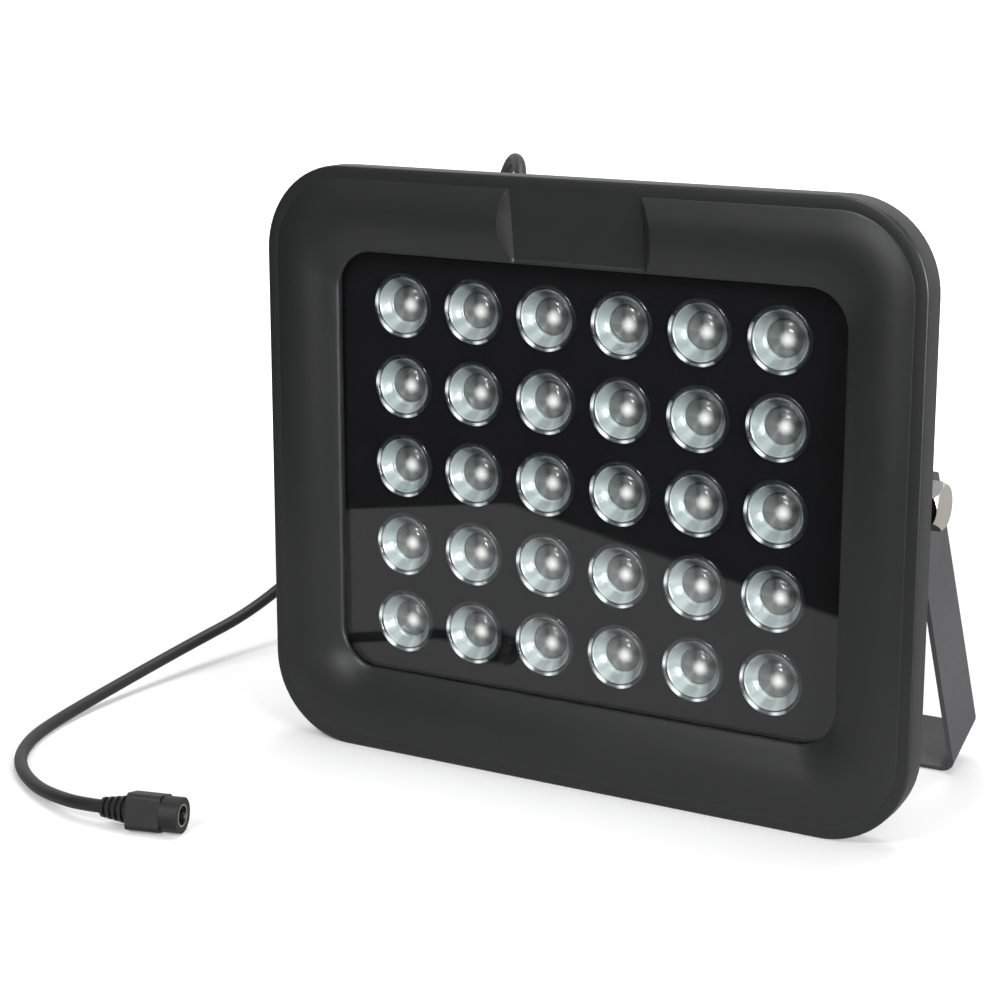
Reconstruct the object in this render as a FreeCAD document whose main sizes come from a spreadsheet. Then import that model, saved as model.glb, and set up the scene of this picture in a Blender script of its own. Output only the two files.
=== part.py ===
import FreeCAD, Part
import math
import os
import re

import Sketcher
from FreeCAD import Placement, Rotation, Vector

# Infrared illuminator: a die-cast floodlight housing with thirty collimator lenses behind a glass
# window, standing on its lower edge and on a U bracket that pivots on two side bolts.
# Millimetres. +X is to the right seen from the front, +Y goes backwards, +Z is up. The origin is the
# middle of the footprint, on the surface the lamp stands on. "Depth" is measured backwards from the
# front plane of the frame.

SIZES = {
    # Front frame: rounded outline, a narrow flat rim, a hollow scoop and the window lip.
    "frame_width": 216.0,
    "frame_height": 184.0,
    "frame_corner": 27.0,
    "frame_thickness": 6.3,
    "frame_edge_round": 0.8,
    "rim_band": 3.9,
    "window_width": 168.0,
    "window_height": 132.0,
    "window_corner": 12.0,
    "lip_depth": 3.2,
    "scoop_sag": 2.4,
    "badge_width": 43.0,
    "badge_root": 4.9,
    # Window glass in its rebate.
    "rebate_overlap": 3.0,
    "rebate_depth": 4.2,
    "glass_thickness": 2.4,
    "glass_gasket_thickness": 0.2,
    "seat_gap": 0.2,
    # Seam gasket and rear casting.
    "seam_gasket_thickness": 0.5,
    "seam_inset": 0.6,
    "flange_inset": 0.3,
    "flange_thickness": 3.0,
    "tray_width": 176.0,
    "tray_height": 152.0,
    "tray_corner": 20.0,
    "tray_wall": 2.6,
    "tray_floor_depth": 23.0,
    "tray_floor": 3.0,
    "driver_box_width": 110.0,
    "driver_box_height": 104.0,
    "driver_box_corner": 10.0,
    "driver_box_back": 55.0,
    "driver_box_wall": 2.5,
    "cover_gasket_thickness": 0.5,
    "cover_thickness": 2.5,
    "cover_boss_radius": 4.2,
    "cover_boss_inset": 7.0,
    "cover_boss_drop": 12.0,
    "fin_thickness": 2.0,
    "fin_pitch": 8.0,
    "fin_top": 47.0,
    "fin_edge_margin": 2.0,
    "fin_box_gap": 3.0,
    # Lens field.
    "lens_pitch": 25.0,
    "lens_rim_radius": 10.0,
    "lens_tip_radius": 4.6,
    "lens_length": 11.4,
    "lens_seat_depth": 1.2,
    "lens_hole_gap": 0.1,
    "lens_plate_thickness": 1.5,
    "plate_side_gap": 0.4,
    "plate_post_radius": 3.4,
    "plate_post_inset": 3.6,
    "board_thickness": 1.6,
    "emitter_width": 4.5,
    "emitter_height": 2.3,
    # Driver board and its two large components.
    "driver_board_width": 78.0,
    "driver_board_height": 62.0,
    "driver_post_height": 4.0,
    "driver_post_radius": 3.0,
    "choke_radius": 8.0,
    "choke_height": 8.0,
    "capacitor_radius": 4.0,
    "capacitor_height": 11.0,
    # Screws.
    "frame_screw_radius": 1.9,
    "frame_screw_head_radius": 3.6,
    "frame_screw_head_height": 2.4,
    "frame_screw_bite": 2.6,
    "cover_screw_bite": 7.0,
    "small_screw_radius": 1.2,
    "small_screw_head_radius": 2.3,
    "small_screw_head_height": 1.2,
    "small_screw_bite": 2.2,
    "screw_hole_gap": 0.1,
    # Pivot: threaded ears, bolts and washers.
    "pivot_depth": 39.2,
    "ear_radius": 10.6,
    "ear_face": 90.9,
    "ear_thickness": 10.0,
    "bolt_radius": 4.0,
    "bolt_bite": 8.0,
    "bolt_head_across_flats": 13.0,
    "bolt_head_height": 4.6,
    "bolt_head_chamfer": 1.0,
    "pivot_clearance": 0.05,
    "face_gap": 0.1,
    "flat_washer_radius": 8.0,
    "flat_washer_thickness": 1.6,
    "spring_washer_radius": 7.0,
    "spring_washer_thickness": 2.0,
    "spring_washer_split": 1.4,
    "washer_bore_gap": 0.2,
    # U bracket. The foot is the bar that joins the two legs.
    "bracket_thickness": 1.6,
    "bracket_top_width": 19.8,
    "bracket_foot_width": 21.2,
    "bracket_shoulder_height": 4.3,
    "bracket_end_height": 9.0,
    "bracket_bend": 5.0,
    "bracket_tilt": 26.0,
    "foot_bore_radius": 4.5,
    "foot_side_hole_radius": 3.25,
    "foot_side_hole_spacing": 60.0,
    # Cable gland on top of the driver box.
    "gland_offset": 43.5,
    "gland_depth": 45.4,
    "gland_thread_radius": 6.0,
    "gland_thread_length": 6.0,
    "gland_flange_across_flats": 16.0,
    "gland_flange_height": 3.0,
    "gland_neck_radius": 5.6,
    "gland_neck_height": 5.5,
    "gland_nut_across_flats": 15.0,
    "gland_nut_height": 7.0,
    "gland_nose_height": 2.5,
    "gland_nose_radius": 3.6,
    "gland_seal_radius": 4.2,
    "gland_seal_height": 4.0,
    # Cord and its in-line jack.
    "cord_radius": 2.0,
    "cord_bore_gap": 0.1,
    "jack_boot_length": 9.0,
    "jack_boot_tail_radius": 2.9,
    "jack_boot_head_radius": 4.3,
    "jack_rib_depth": 0.8,
    "jack_grip_length": 10.5,
    "jack_grip_width": 9.0,
    "jack_grip_height": 10.8,
    "jack_grip_round": 1.6,
    "jack_head_radius": 5.3,
    "jack_head_length": 5.5,
    "jack_socket_depth": 8.5,
    "jack_sleeve_radius": 3.3,
    "jack_sleeve_wall": 0.4,
    "jack_pin_radius": 1.0,
    "jack_pin_setback": 1.5,
}

LENS_COLUMNS = 6
LENS_ROWS = 5
SCOOP_STEPS = (0.0, 0.2, 0.45, 0.72, 1.0)
JACK_RIBS = 4

# Route of the cord's centre line: up out of the gland, over the top of the housing, down behind its
# left side to the floor, round in front and into the jack. The rise is measured from the gland's
# foot; the lay holds x, depth behind the front plane and the height of the cord's underside.
CORD_RISE = [
    (0.0, 0.0, 7.2),
    (0.0, 0.0, 20.2),
    (-3.3, 5.6, 31.4),
    (-9.3, 15.3, 37.9),
]
CORD_LAY = [
    (-61.8, 71.4, 179.4),
    (-71.4, 81.2, 169.2),
    (-82.0, 90.6, 149.5),
    (-94.5, 99.8, 124.0),
    (-111.0, 108.0, 96.0),
    (-129.5, 111.0, 68.5),
    (-146.5, 104.0, 44.0),
    (-158.0, 86.5, 25.5),
    (-165.5, 63.0, 13.5),
    (-170.5, 37.0, 8.5),
    (-173.0, 11.0, 4.5),
    (-174.0, -13.0, 1.4),
    (-172.3, -33.5, 0.1),
    (-167.8, -51.0, 0.1),
    (-159.8, -66.0, 0.1),
    (-149.5, -76.6, 0.1),
    (-136.5, -85.4, 0.4),
    (-122.8, -92.0, 1.8),
]
JACK_RUN = [
    (-108.05, -96.35),
    (-93.5, -92.7),
]
BEND_SHARE = 0.45

doc = FreeCAD.newDocument("InfraredIlluminator")
sheet = doc.addObject("Spreadsheet::Sheet", "Sizes")
for row, (alias, number) in enumerate(SIZES.items(), start=1):
    sheet.set(f"A{row}", alias)
    sheet.set(f"B{row}", str(number))
    sheet.setAlias(f"B{row}", alias)
doc.recompute()

nodes = []


def size(expression):
    """The value, in millimetres, of an expression in the sheet's names."""
    return float(sheet.evalExpression(expression))


def bound(expression):
    """The same expression as other objects of the document have to write it."""
    return re.sub(r"[a-z_]+", lambda word: "Sizes." + word.group(), expression)


def bind(feature, **expressions):
    """Ties properties of a feature to expressions in the sheet's names."""
    for name, expression in expressions.items():
        feature.setExpression(name, bound(expression))
    return feature


def keep(item, name, placement=None):
    """Labels a finished sub-part, places it and lists it for export."""
    item.Label = name
    if placement is not None:
        item.Placement = placement
    nodes.append(item)
    return item


def new_body(name, placement):
    """An empty body for the sub-part called name."""
    body = doc.addObject("PartDesign::Body", name)
    return keep(body, name, placement)


def plane_sketch(body, name, role, offset="0"):
    """A sketch on one of the body's own origin planes, moved along that plane's normal."""
    sketch = body.newObject("Sketcher::SketchObject", name)
    plane = next(item for item in body.Origin.OriginFeatures if item.Role == role)
    sketch.AttachmentSupport = (plane, [""])
    sketch.MapMode = "FlatFace"
    if offset != "0":
        sketch.setExpression("AttachmentOffset.Base.z", bound(offset))
    return sketch


def face_sketch(body, name, depth="0"):
    """A sketch parallel to the window, at a depth behind the front plane."""
    return plane_sketch(body, name, "XZ_Plane", "0" if depth == "0" else f"-({depth})")


def rounded_rectangle(sketch, width, height, radius):
    """A centred rectangle with four equal corner arcs, driven by three expressions."""
    half_width = size(width) / 2
    half_height = size(height) / 2
    corner = size(radius)
    first = sketch.GeometryCount
    for turn, (side, level) in enumerate(((1, 1), (-1, 1), (-1, -1), (1, -1))):
        centre = Vector(side * (half_width - corner), level * (half_height - corner), 0)
        circle = Part.Circle(centre, Vector(0, 0, 1), corner)
        start = turn * math.pi / 2
        sketch.addGeometry(Part.ArcOfCircle(circle, start, start + math.pi / 2), False)
    arcs = [first + index for index in range(4)]
    lines = []
    for index in range(4):
        start = sketch.getPoint(arcs[index], 2)
        end = sketch.getPoint(arcs[(index + 1) % 4], 1)
        lines.append(sketch.addGeometry(Part.LineSegment(start, end), False))
    rules = []
    for index in range(4):
        rules.append(Sketcher.Constraint("Tangent", arcs[index], 2, lines[index], 1))
        rules.append(Sketcher.Constraint("Tangent", lines[index], 2, arcs[(index + 1) % 4], 1))
    rules.append(Sketcher.Constraint("Horizontal", lines[0]))
    rules.append(Sketcher.Constraint("Vertical", lines[1]))
    rules.append(Sketcher.Constraint("Horizontal", lines[2]))
    rules.append(Sketcher.Constraint("Vertical", lines[3]))
    rules.extend(Sketcher.Constraint("Equal", arcs[0], arcs[index]) for index in (1, 2, 3))
    rules.append(Sketcher.Constraint("Symmetric", arcs[0], 3, arcs[2], 3, -1, 1))
    sketch.addConstraint(rules)
    drive(sketch, Sketcher.Constraint("Radius", arcs[0], corner), radius)
    drive(sketch, Sketcher.Constraint("DistanceX", lines[1], 1, lines[3], 1, 2 * half_width), width)
    drive(sketch, Sketcher.Constraint("DistanceY", lines[2], 1, lines[0], 1, 2 * half_height), height)


def drive(sketch, constraint, expression):
    """Adds a dimension to a sketch and ties it to an expression."""
    index = sketch.addConstraint(constraint)
    sketch.setExpression(f"Constraints[{index}]", bound(expression))


def circles(sketch, places, radius):
    """Equal circles at the given places of a sketch."""
    for x, y in places:
        circle = Part.Circle(Vector(x, y, 0), Vector(0, 0, 1), size(radius))
        index = sketch.addGeometry(circle, False)
        drive(sketch, Sketcher.Constraint("Radius", index, size(radius)), radius)


def polyline(sketch, points):
    """A closed outline of straight lines through the points."""
    first = sketch.GeometryCount
    count = len(points)
    for index in range(count):
        start = Vector(*points[index], 0)
        end = Vector(*points[(index + 1) % count], 0)
        sketch.addGeometry(Part.LineSegment(start, end), False)
    for index in range(count):
        following = first + (index + 1) % count
        sketch.addConstraint(Sketcher.Constraint("Coincident", first + index, 2, following, 1))


def hexagon(sketch, across_flats):
    """A centred hexagon with two flats facing the sketch's vertical axis."""
    corner = size(across_flats) / math.sqrt(3)
    polyline(sketch, [(corner * math.cos(turn * math.pi / 3), corner * math.sin(turn * math.pi / 3))
                      for turn in range(6)])


def pad(body, name, sketch, length, reverse=False, midplane=False):
    """Raises a solid from a sketch."""
    feature = body.newObject("PartDesign::Pad", name)
    feature.Profile = sketch
    feature.Reversed = reverse
    feature.Midplane = midplane
    return bind(feature, Length=length)


def pocket(body, name, sketch, length, reverse=False, midplane=False):
    """Cuts a solid out along a sketch's normal and checks that material went."""
    doc.recompute()
    before = body.Shape.Volume
    feature = body.newObject("PartDesign::Pocket", name)
    feature.Profile = sketch
    feature.Reversed = reverse
    feature.Midplane = midplane
    bind(feature, Length=length)
    doc.recompute()
    if not body.Shape.Volume < before:
        raise RuntimeError(f"{body.Label}.{name} cuts nothing")
    return feature


def back_pad(body, name, sketch, length):
    """A pad that runs backwards from a sketch made by face_sketch."""
    return pad(body, name, sketch, length, reverse=True)


def revolve(body, name, sketch, axis="V_Axis"):
    """Turns a sketch a full circle about one of its own axes."""
    feature = body.newObject("PartDesign::Revolution", name)
    feature.Profile = sketch
    feature.ReferenceAxis = (sketch, [axis])
    feature.Angle = 360
    return feature


def cylinder(name, radius, height, placement):
    """A cylinder tied to two expressions."""
    item = doc.addObject("Part::Cylinder", name)
    item.Placement = placement
    return bind(item, Radius=radius, Height=height)


def fuse(name, parts):
    """One solid from several overlapping ones."""
    item = doc.addObject("Part::MultiFuse", name)
    item.Shapes = parts
    item.Refine = True
    return item


def cut(name, base, tool):
    """One solid less another."""
    item = doc.addObject("Part::Cut", name)
    item.Base = base
    item.Tool = tool
    return item


# Depths that several pieces share, as expressions.
GLASS_FRONT = "rebate_depth + glass_gasket_thickness"
GLASS_BACK = GLASS_FRONT + " + glass_thickness"
LENS_FRONT = GLASS_BACK + " + seat_gap"
PLATE_FRONT = LENS_FRONT + " + lens_seat_depth"
LENS_SEAT = "lens_rim_radius - (lens_rim_radius - lens_tip_radius) * lens_seat_depth / lens_length"
PLATE_BACK = PLATE_FRONT + " + lens_plate_thickness"
FLANGE_FRONT = "frame_thickness + seam_gasket_thickness"
FLANGE_BACK = FLANGE_FRONT + " + flange_thickness"
TRAY_BACK = "tray_floor_depth + tray_floor"
BOARD_FRONT = "tray_floor_depth - board_thickness"
DRIVER_BOARD_FRONT = TRAY_BACK + " + driver_post_height"
DRIVER_BOARD_BACK = DRIVER_BOARD_FRONT + " + board_thickness"
COVER_FRONT = "driver_box_back + cover_gasket_thickness"
COVER_BACK = COVER_FRONT + " + cover_thickness"
WASHER_STACK = "spring_washer_thickness + flat_washer_thickness"
BRACKET_INNER_FACE = f"ear_face + {WASHER_STACK} + face_gap"
BRACKET_OUTER_FACE = BRACKET_INNER_FACE + " + bracket_thickness"

# The bracket stands with its foot tilted, front edge on the floor.
tilt = math.radians(size("bracket_tilt"))
centre_height = size("frame_height") / 2
foot_back = size("bracket_foot_width / 2")
foot_front = -foot_back
foot_drop = (centre_height + foot_front * math.sin(tilt)) / math.cos(tilt)
overall_depth = size("pivot_depth") + foot_back * math.cos(tilt) + foot_drop * math.sin(tilt)
front_plane = -overall_depth / 2

HOUSING = Placement(Vector(0, front_plane, centre_height), Rotation())
PIVOT = Placement(Vector(0, front_plane + size("pivot_depth"), centre_height),
                  Rotation(Vector(1, 0, 0), size("bracket_tilt")))
TOWARDS_BACK = Rotation(Vector(1, 0, 0), -90)


def housing_place(x, z, depth, turn=TOWARDS_BACK):
    """Placement of a piece inside the housing, its own Z axis pointing backwards by default."""
    return HOUSING * Placement(Vector(x, depth, z), turn)


def lens_places():
    """Row, column and centre of every lens, from the top left."""
    pitch = size("lens_pitch")
    for row in range(LENS_ROWS):
        for column in range(LENS_COLUMNS):
            x = (column - (LENS_COLUMNS - 1) / 2) * pitch
            z = ((LENS_ROWS - 1) / 2 - row) * pitch
            yield row + 1, column + 1, x, z


def frame_screw_places():
    """Eight screws through the flange, two on each side of the housing."""
    side = (size("tray_width") / 2 + size("frame_width") / 2) / 2
    level = (size("tray_height") / 2 + size("frame_height") / 2) / 2
    along_side = size("frame_height") / 4
    along_top = size("frame_width") / 4
    places = [(sign_x * side, sign_z * along_side) for sign_x in (-1, 1) for sign_z in (-1, 1)]
    places += [(sign_x * along_top, sign_z * level) for sign_x in (-1, 1) for sign_z in (-1, 1)]
    return places


def plate_post_places():
    """Four posts near the corners of the tray, which hold the lens plate against the window."""
    x = size("tray_width / 2 - tray_wall - tray_corner")
    z = size("tray_height / 2 - tray_wall - plate_post_inset")
    return [(sign_x * x, sign_z * z) for sign_x in (-1, 1) for sign_z in (-1, 1)]


def board_screw_places():
    """Four screws between the lenses that hold the emitter board to the tray."""
    x = size("lens_pitch") * 2
    z = size("lens_pitch") * 1.5
    return [(sign_x * x, sign_z * z) for sign_x in (-1, 1) for sign_z in (-1, 1)]


def cover_screw_places():
    """Four screws at the corners of the driver box."""
    x = size("driver_box_width / 2 - cover_boss_inset")
    z = size("driver_box_height / 2 - cover_boss_drop")
    return [(sign_x * x, sign_z * z) for sign_x in (-1, 1) for sign_z in (-1, 1)]


def driver_post_places():
    """Two posts that carry the driver board."""
    x = size("driver_board_width / 2 - 2 * driver_post_radius")
    return [(-x, 0.0), (x, 0.0)]


def scoop_depth(offset):
    """Depth of the scoop's circular section at a distance inwards from the rim's crest."""
    run = size("frame_width - 2 * rim_band - window_width") / 2
    lip = size("lip_depth")
    sag = size("scoop_sag")
    chord = math.hypot(run, lip)
    radius = (chord ** 2 / 4 + sag ** 2) / (2 * sag)
    rise = radius - sag
    centre_offset = run / 2 + rise * lip / chord
    centre_depth = lip / 2 - rise * run / chord
    return centre_depth + math.sqrt(radius ** 2 - (offset - centre_offset) ** 2)


def front_frame():
    """The cast frame: scooped face, plain badge field at the top, window and glass rebate."""
    body = new_body("front_frame", HOUSING)
    outline = face_sketch(body, "FrameOutline")
    rounded_rectangle(outline, "frame_width", "frame_height", "frame_corner")
    block = back_pad(body, "FrameBlock", outline, "frame_thickness")
    doc.recompute()
    front_edges = [f"Edge{index}" for index, edge in enumerate(block.Shape.Edges, start=1)
                   if edge.BoundBox.YMax - front_plane < 1e-6 or edge.BoundBox.YMax < 1e-6]
    rounding = body.newObject("PartDesign::Fillet", "FrameEdge")
    rounding.Base = (block, front_edges)
    bind(rounding, Radius="frame_edge_round")
    scoop(body)
    badge_field(body)
    opening = face_sketch(body, "WindowOutline")
    rounded_rectangle(opening, "window_width", "window_height", "window_corner")
    pocket(body, "Window", opening, "frame_thickness")
    rebate = face_sketch(body, "RebateOutline", "rebate_depth")
    rounded_rectangle(rebate, "window_width + 2 * rebate_overlap", "window_height + 2 * rebate_overlap",
                      "window_corner + rebate_overlap")
    pocket(body, "Rebate", rebate, "frame_thickness")
    bites = face_sketch(body, "ScrewBites", "frame_thickness - frame_screw_bite - screw_hole_gap")
    circles(bites, frame_screw_places(), "frame_screw_radius + screw_hole_gap")
    pocket(body, "ScrewHoles", bites, "frame_thickness")


def scoop(body):
    """Cuts the hollow face as one smooth loft from the rim's crest down to the window lip."""
    run_x = "(frame_width - 2 * rim_band - window_width)"
    run_z = "(frame_height - 2 * rim_band - window_height)"
    corner = "(frame_corner - rim_band)"
    half_run = size(run_x) / 2
    sections = []
    for number, share in enumerate(SCOOP_STEPS):
        section = face_sketch(body, f"ScoopSection{number}")
        section.AttachmentOffset = Placement(Vector(0, 0, -scoop_depth(share * half_run)), Rotation())
        rounded_rectangle(section, f"frame_width - 2 * rim_band - {share} * {run_x}",
                          f"frame_height - 2 * rim_band - {share} * {run_z}",
                          f"{corner} + {share} * (window_corner - {corner})")
        sections.append(section)
    doc.recompute()
    before = body.Shape.Volume
    loft = body.newObject("PartDesign::SubtractiveLoft", "Scoop")
    loft.Profile = sections[0]
    loft.Sections = sections[1:]
    doc.recompute()
    if not body.Shape.Volume < before:
        raise RuntimeError("the scoop cuts nothing")


def badge_field(body):
    """The flat field that bridges the scoop at the top centre, from the crest to the lip."""
    section = plane_sketch(body, "BadgeSection", "YZ_Plane")
    crest = size("frame_height / 2 - rim_band")
    lip = size("window_height / 2")
    fall = size("lip_depth") / (crest - lip)
    overlap = size("rim_band / 2")
    root = size("badge_root")
    polyline(section, [(0, crest + overlap), (0, crest), ((crest - lip + overlap) * fall, lip - overlap),
                       (root, lip - overlap), (root, crest + overlap)])
    pad(body, "BadgeField", section, "badge_width", midplane=True)


def window_glass():
    """The clear pane behind the lip."""
    body = new_body("window_glass", HOUSING)
    outline = face_sketch(body, "PaneOutline", GLASS_FRONT)
    rounded_rectangle(outline, "window_width + 2 * rebate_overlap - 2 * seat_gap",
                      "window_height + 2 * rebate_overlap - 2 * seat_gap",
                      "window_corner + rebate_overlap - seat_gap")
    back_pad(body, "Pane", outline, "glass_thickness")


def window_gasket():
    """The thin seal between the lip and the pane."""
    body = new_body("window_gasket", HOUSING)
    outline = face_sketch(body, "SealOutline", "rebate_depth")
    rounded_rectangle(outline, "window_width + 2 * rebate_overlap - 2 * seat_gap",
                      "window_height + 2 * rebate_overlap - 2 * seat_gap",
                      "window_corner + rebate_overlap - seat_gap")
    rounded_rectangle(outline, "window_width + 2 * seat_gap", "window_height + 2 * seat_gap",
                      "window_corner + seat_gap")
    back_pad(body, "Seal", outline, "glass_gasket_thickness")


def seam_gasket():
    """The rubber seal between the frame and the rear casting, which shows as a dark line."""
    body = new_body("seam_gasket", HOUSING)
    outline = face_sketch(body, "SealOutline", "frame_thickness")
    rounded_rectangle(outline, "frame_width - 2 * seam_inset", "frame_height - 2 * seam_inset",
                      "frame_corner - seam_inset")
    rounded_rectangle(outline, "tray_width", "tray_height", "tray_corner")
    circles(outline, frame_screw_places(), "frame_screw_radius + screw_hole_gap")
    back_pad(body, "Seal", outline, "seam_gasket_thickness")


def lens_plate():
    """The black plate that carries the lenses by their rims."""
    body = new_body("lens_plate", HOUSING)
    outline = face_sketch(body, "PlateOutline", PLATE_FRONT)
    rounded_rectangle(outline, "tray_width - 2 * tray_wall - 2 * plate_side_gap",
                      "tray_height - 2 * tray_wall - 2 * plate_side_gap",
                      "tray_corner - tray_wall - plate_side_gap")
    circles(outline, [(x, z) for _, _, x, z in lens_places()], f"{LENS_SEAT} + lens_hole_gap")
    back_pad(body, "Plate", outline, "lens_plate_thickness")


def lenses():
    """Collimator lenses in rows of six: cones that narrow to the emitter and seat by their taper."""
    rows = {}
    for row, column, x, z in lens_places():
        cone = doc.addObject("Part::Cone", f"lens_{row}_{column}")
        bind(cone, Radius1="lens_rim_radius", Radius2="lens_tip_radius", Height="lens_length")
        cone.Placement = housing_place(x, z, size(LENS_FRONT))
        rows.setdefault(row, []).append(cone)
    for row, members in rows.items():
        group = doc.addObject("Part::Compound", f"lens_row_{row}")
        group.Links = members
        keep(group, f"lens_row_{row}")


def led_board():
    """The metal-core board that lies on the floor of the tray."""
    body = new_body("led_board", HOUSING)
    outline = face_sketch(body, "BoardOutline", BOARD_FRONT)
    rounded_rectangle(outline, f"{LENS_COLUMNS - 1} * lens_pitch + 2 * lens_rim_radius",
                      f"{LENS_ROWS - 1} * lens_pitch + 2 * lens_rim_radius", "lens_rim_radius / 2")
    circles(outline, board_screw_places(), "small_screw_radius + screw_hole_gap")
    back_pad(body, "Board", outline, "board_thickness")


def emitters():
    """Thirty infrared emitters on the board, one under each lens."""
    parts = []
    for row, column, x, z in lens_places():
        package = doc.addObject("Part::Box", f"emitter_{row}_{column}")
        bind(package, Length="emitter_width", Width="emitter_height", Height="emitter_width")
        half = size("emitter_width / 2")
        package.Placement = housing_place(x - half, z - half, size(BOARD_FRONT + " - emitter_height"),
                                          Rotation())
        parts.append(package)
    group = doc.addObject("Part::Compound", "emitters")
    group.Links = parts
    keep(group, "emitters")


def driver_board():
    """The constant-current driver in its box, with its choke and capacitor."""
    body = new_body("driver_board", HOUSING)
    outline = face_sketch(body, "BoardOutline", DRIVER_BOARD_FRONT)
    rounded_rectangle(outline, "driver_board_width", "driver_board_height", "driver_post_radius")
    back_pad(body, "Board", outline, "board_thickness")
    back = size(DRIVER_BOARD_BACK)
    choke_place = housing_place(size("driver_board_width / 4"), 0, back)
    choke = cylinder("choke_winding", "choke_radius", "choke_height", choke_place)
    core = cylinder("choke_core_hole", "choke_radius / 2.5", "choke_height", choke_place)
    keep(cut("choke_coil", choke, core), "choke_coil")
    capacitor_place = housing_place(-size("driver_board_width / 4"), -size("driver_board_height / 4"), back)
    keep(cylinder("capacitor", "capacitor_radius", "capacitor_height", capacitor_place), "capacitor")


def driver_cover():
    """The flat cover on the back of the driver box and its seal."""
    seal = new_body("cover_gasket", HOUSING)
    ring = face_sketch(seal, "SealOutline", "driver_box_back")
    rounded_rectangle(ring, "driver_box_width - 2 * seam_inset", "driver_box_height - 2 * seam_inset",
                      "driver_box_corner - seam_inset")
    rounded_rectangle(ring, "driver_box_width - 3 * cover_boss_inset",
                      "driver_box_height - 3 * cover_boss_inset", "driver_box_corner / 2")
    circles(ring, cover_screw_places(), "frame_screw_radius + screw_hole_gap")
    back_pad(seal, "Seal", ring, "cover_gasket_thickness")
    body = new_body("driver_cover", HOUSING)
    outline = face_sketch(body, "CoverOutline", COVER_FRONT)
    rounded_rectangle(outline, "driver_box_width", "driver_box_height", "driver_box_corner")
    circles(outline, cover_screw_places(), "frame_screw_radius + screw_hole_gap")
    back_pad(body, "Cover", outline, "cover_thickness")


def rear_housing():
    """The rear casting: flange, tray, driver box, cooling fins and threaded pivot ears."""
    body = new_body("rear_housing", HOUSING)
    flange = face_sketch(body, "FlangeOutline", FLANGE_FRONT)
    rounded_rectangle(flange, "frame_width - 2 * flange_inset", "frame_height - 2 * flange_inset",
                      "frame_corner - flange_inset")
    back_pad(body, "Flange", flange, "flange_thickness")
    tray = face_sketch(body, "TrayOutline", FLANGE_FRONT)
    rounded_rectangle(tray, "tray_width", "tray_height", "tray_corner")
    back_pad(body, "Tray", tray, f"{TRAY_BACK} - ({FLANGE_FRONT})")
    box = face_sketch(body, "BoxOutline", FLANGE_BACK)
    rounded_rectangle(box, "driver_box_width", "driver_box_height", "driver_box_corner")
    back_pad(body, "DriverBox", box, f"driver_box_back - ({FLANGE_BACK})")
    cooling_fins(body)
    pivot_ears(body)
    cavity = face_sketch(body, "TrayCavityOutline")
    rounded_rectangle(cavity, "tray_width - 2 * tray_wall", "tray_height - 2 * tray_wall",
                      "tray_corner - tray_wall")
    pocket(body, "TrayCavity", cavity, "tray_floor_depth")
    chamber = face_sketch(body, "BoxCavityOutline", TRAY_BACK)
    rounded_rectangle(chamber, "driver_box_width - 2 * driver_box_wall",
                      "driver_box_height - 2 * driver_box_wall", "driver_box_corner - driver_box_wall")
    pocket(body, "BoxCavity", chamber, f"driver_box_back - ({TRAY_BACK})")
    inner_posts(body)
    drilled_holes(body)


def cooling_fins(body):
    """Upright fins on the back of the tray, beside, above and below the driver box."""
    half_fin = size("fin_thickness") / 2
    pitch = size("fin_pitch")
    edge = size("tray_height / 2 - fin_edge_margin - tray_corner / 2")
    full_edge = size("tray_height / 2 - fin_edge_margin")
    box_side = size("driver_box_width / 2 + fin_box_gap")
    box_top = size("driver_box_height / 2")
    tray_side = size("tray_width / 2 - fin_edge_margin")
    ear_room = size("ear_thickness + fin_box_gap")
    gland_room = size("gland_flange_across_flats")
    outlines = face_sketch(body, "FinOutlines", "tray_floor_depth")
    for number in range(-int(tray_side / pitch), int(tray_side / pitch) + 1):
        x = number * pitch
        if abs(x) > tray_side - half_fin:
            continue
        if abs(x) > box_side:
            if abs(x) > size("ear_face") - ear_room:
                continue
            spans = [(-edge, edge)]
        elif abs(x + size("gland_offset")) < gland_room:
            spans = [(-full_edge, -box_top + half_fin)]
        else:
            spans = [(-full_edge, -box_top + half_fin), (box_top - half_fin, full_edge)]
        for low, high in spans:
            polyline(outlines, [(x - half_fin, low), (x + half_fin, low),
                                (x + half_fin, high), (x - half_fin, high)])
    back_pad(body, "CoolingFins", outlines, "fin_top - tray_floor_depth")


def strap_outline(sketch, half_base, base_level, half_top, shoulder, end):
    """A strap that stands on its base line and ends above the sketch origin in a flat arc."""
    arc = Part.Arc(Vector(half_top, shoulder, 0), Vector(0, end, 0), Vector(-half_top, shoulder, 0))
    sketch.addGeometry(arc, False)
    corners = [(-half_top, shoulder), (-half_base, -base_level), (half_base, -base_level),
               (half_top, shoulder)]
    for start, finish in zip(corners, corners[1:]):
        sketch.addGeometry(Part.LineSegment(Vector(*start, 0), Vector(*finish, 0)), False)


def pivot_ears(body):
    """Two lugs on the sides of the tray, threaded for the pivot bolts."""
    for side, name in ((-1, "Left"), (1, "Right")):
        start = "ear_face - ear_thickness" if side > 0 else "-ear_face"
        outline = plane_sketch(body, f"Ear{name}Outline", "YZ_Plane", start)
        eye = (size("pivot_depth"), 0.0)
        reach = size("ear_radius")
        root = size(FLANGE_BACK)
        outline.addGeometry(Part.Arc(Vector(eye[0], -reach, 0), Vector(eye[0] + reach, 0, 0),
                                     Vector(eye[0], reach, 0)), False)
        corners = [(eye[0], reach), (root, 1.5 * reach), (root, -1.5 * reach), (eye[0], -reach)]
        for begin, end in zip(corners, corners[1:]):
            outline.addGeometry(Part.LineSegment(Vector(*begin, 0), Vector(*end, 0)), False)
        pad(body, f"Ear{name}", outline, "ear_thickness")


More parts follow.
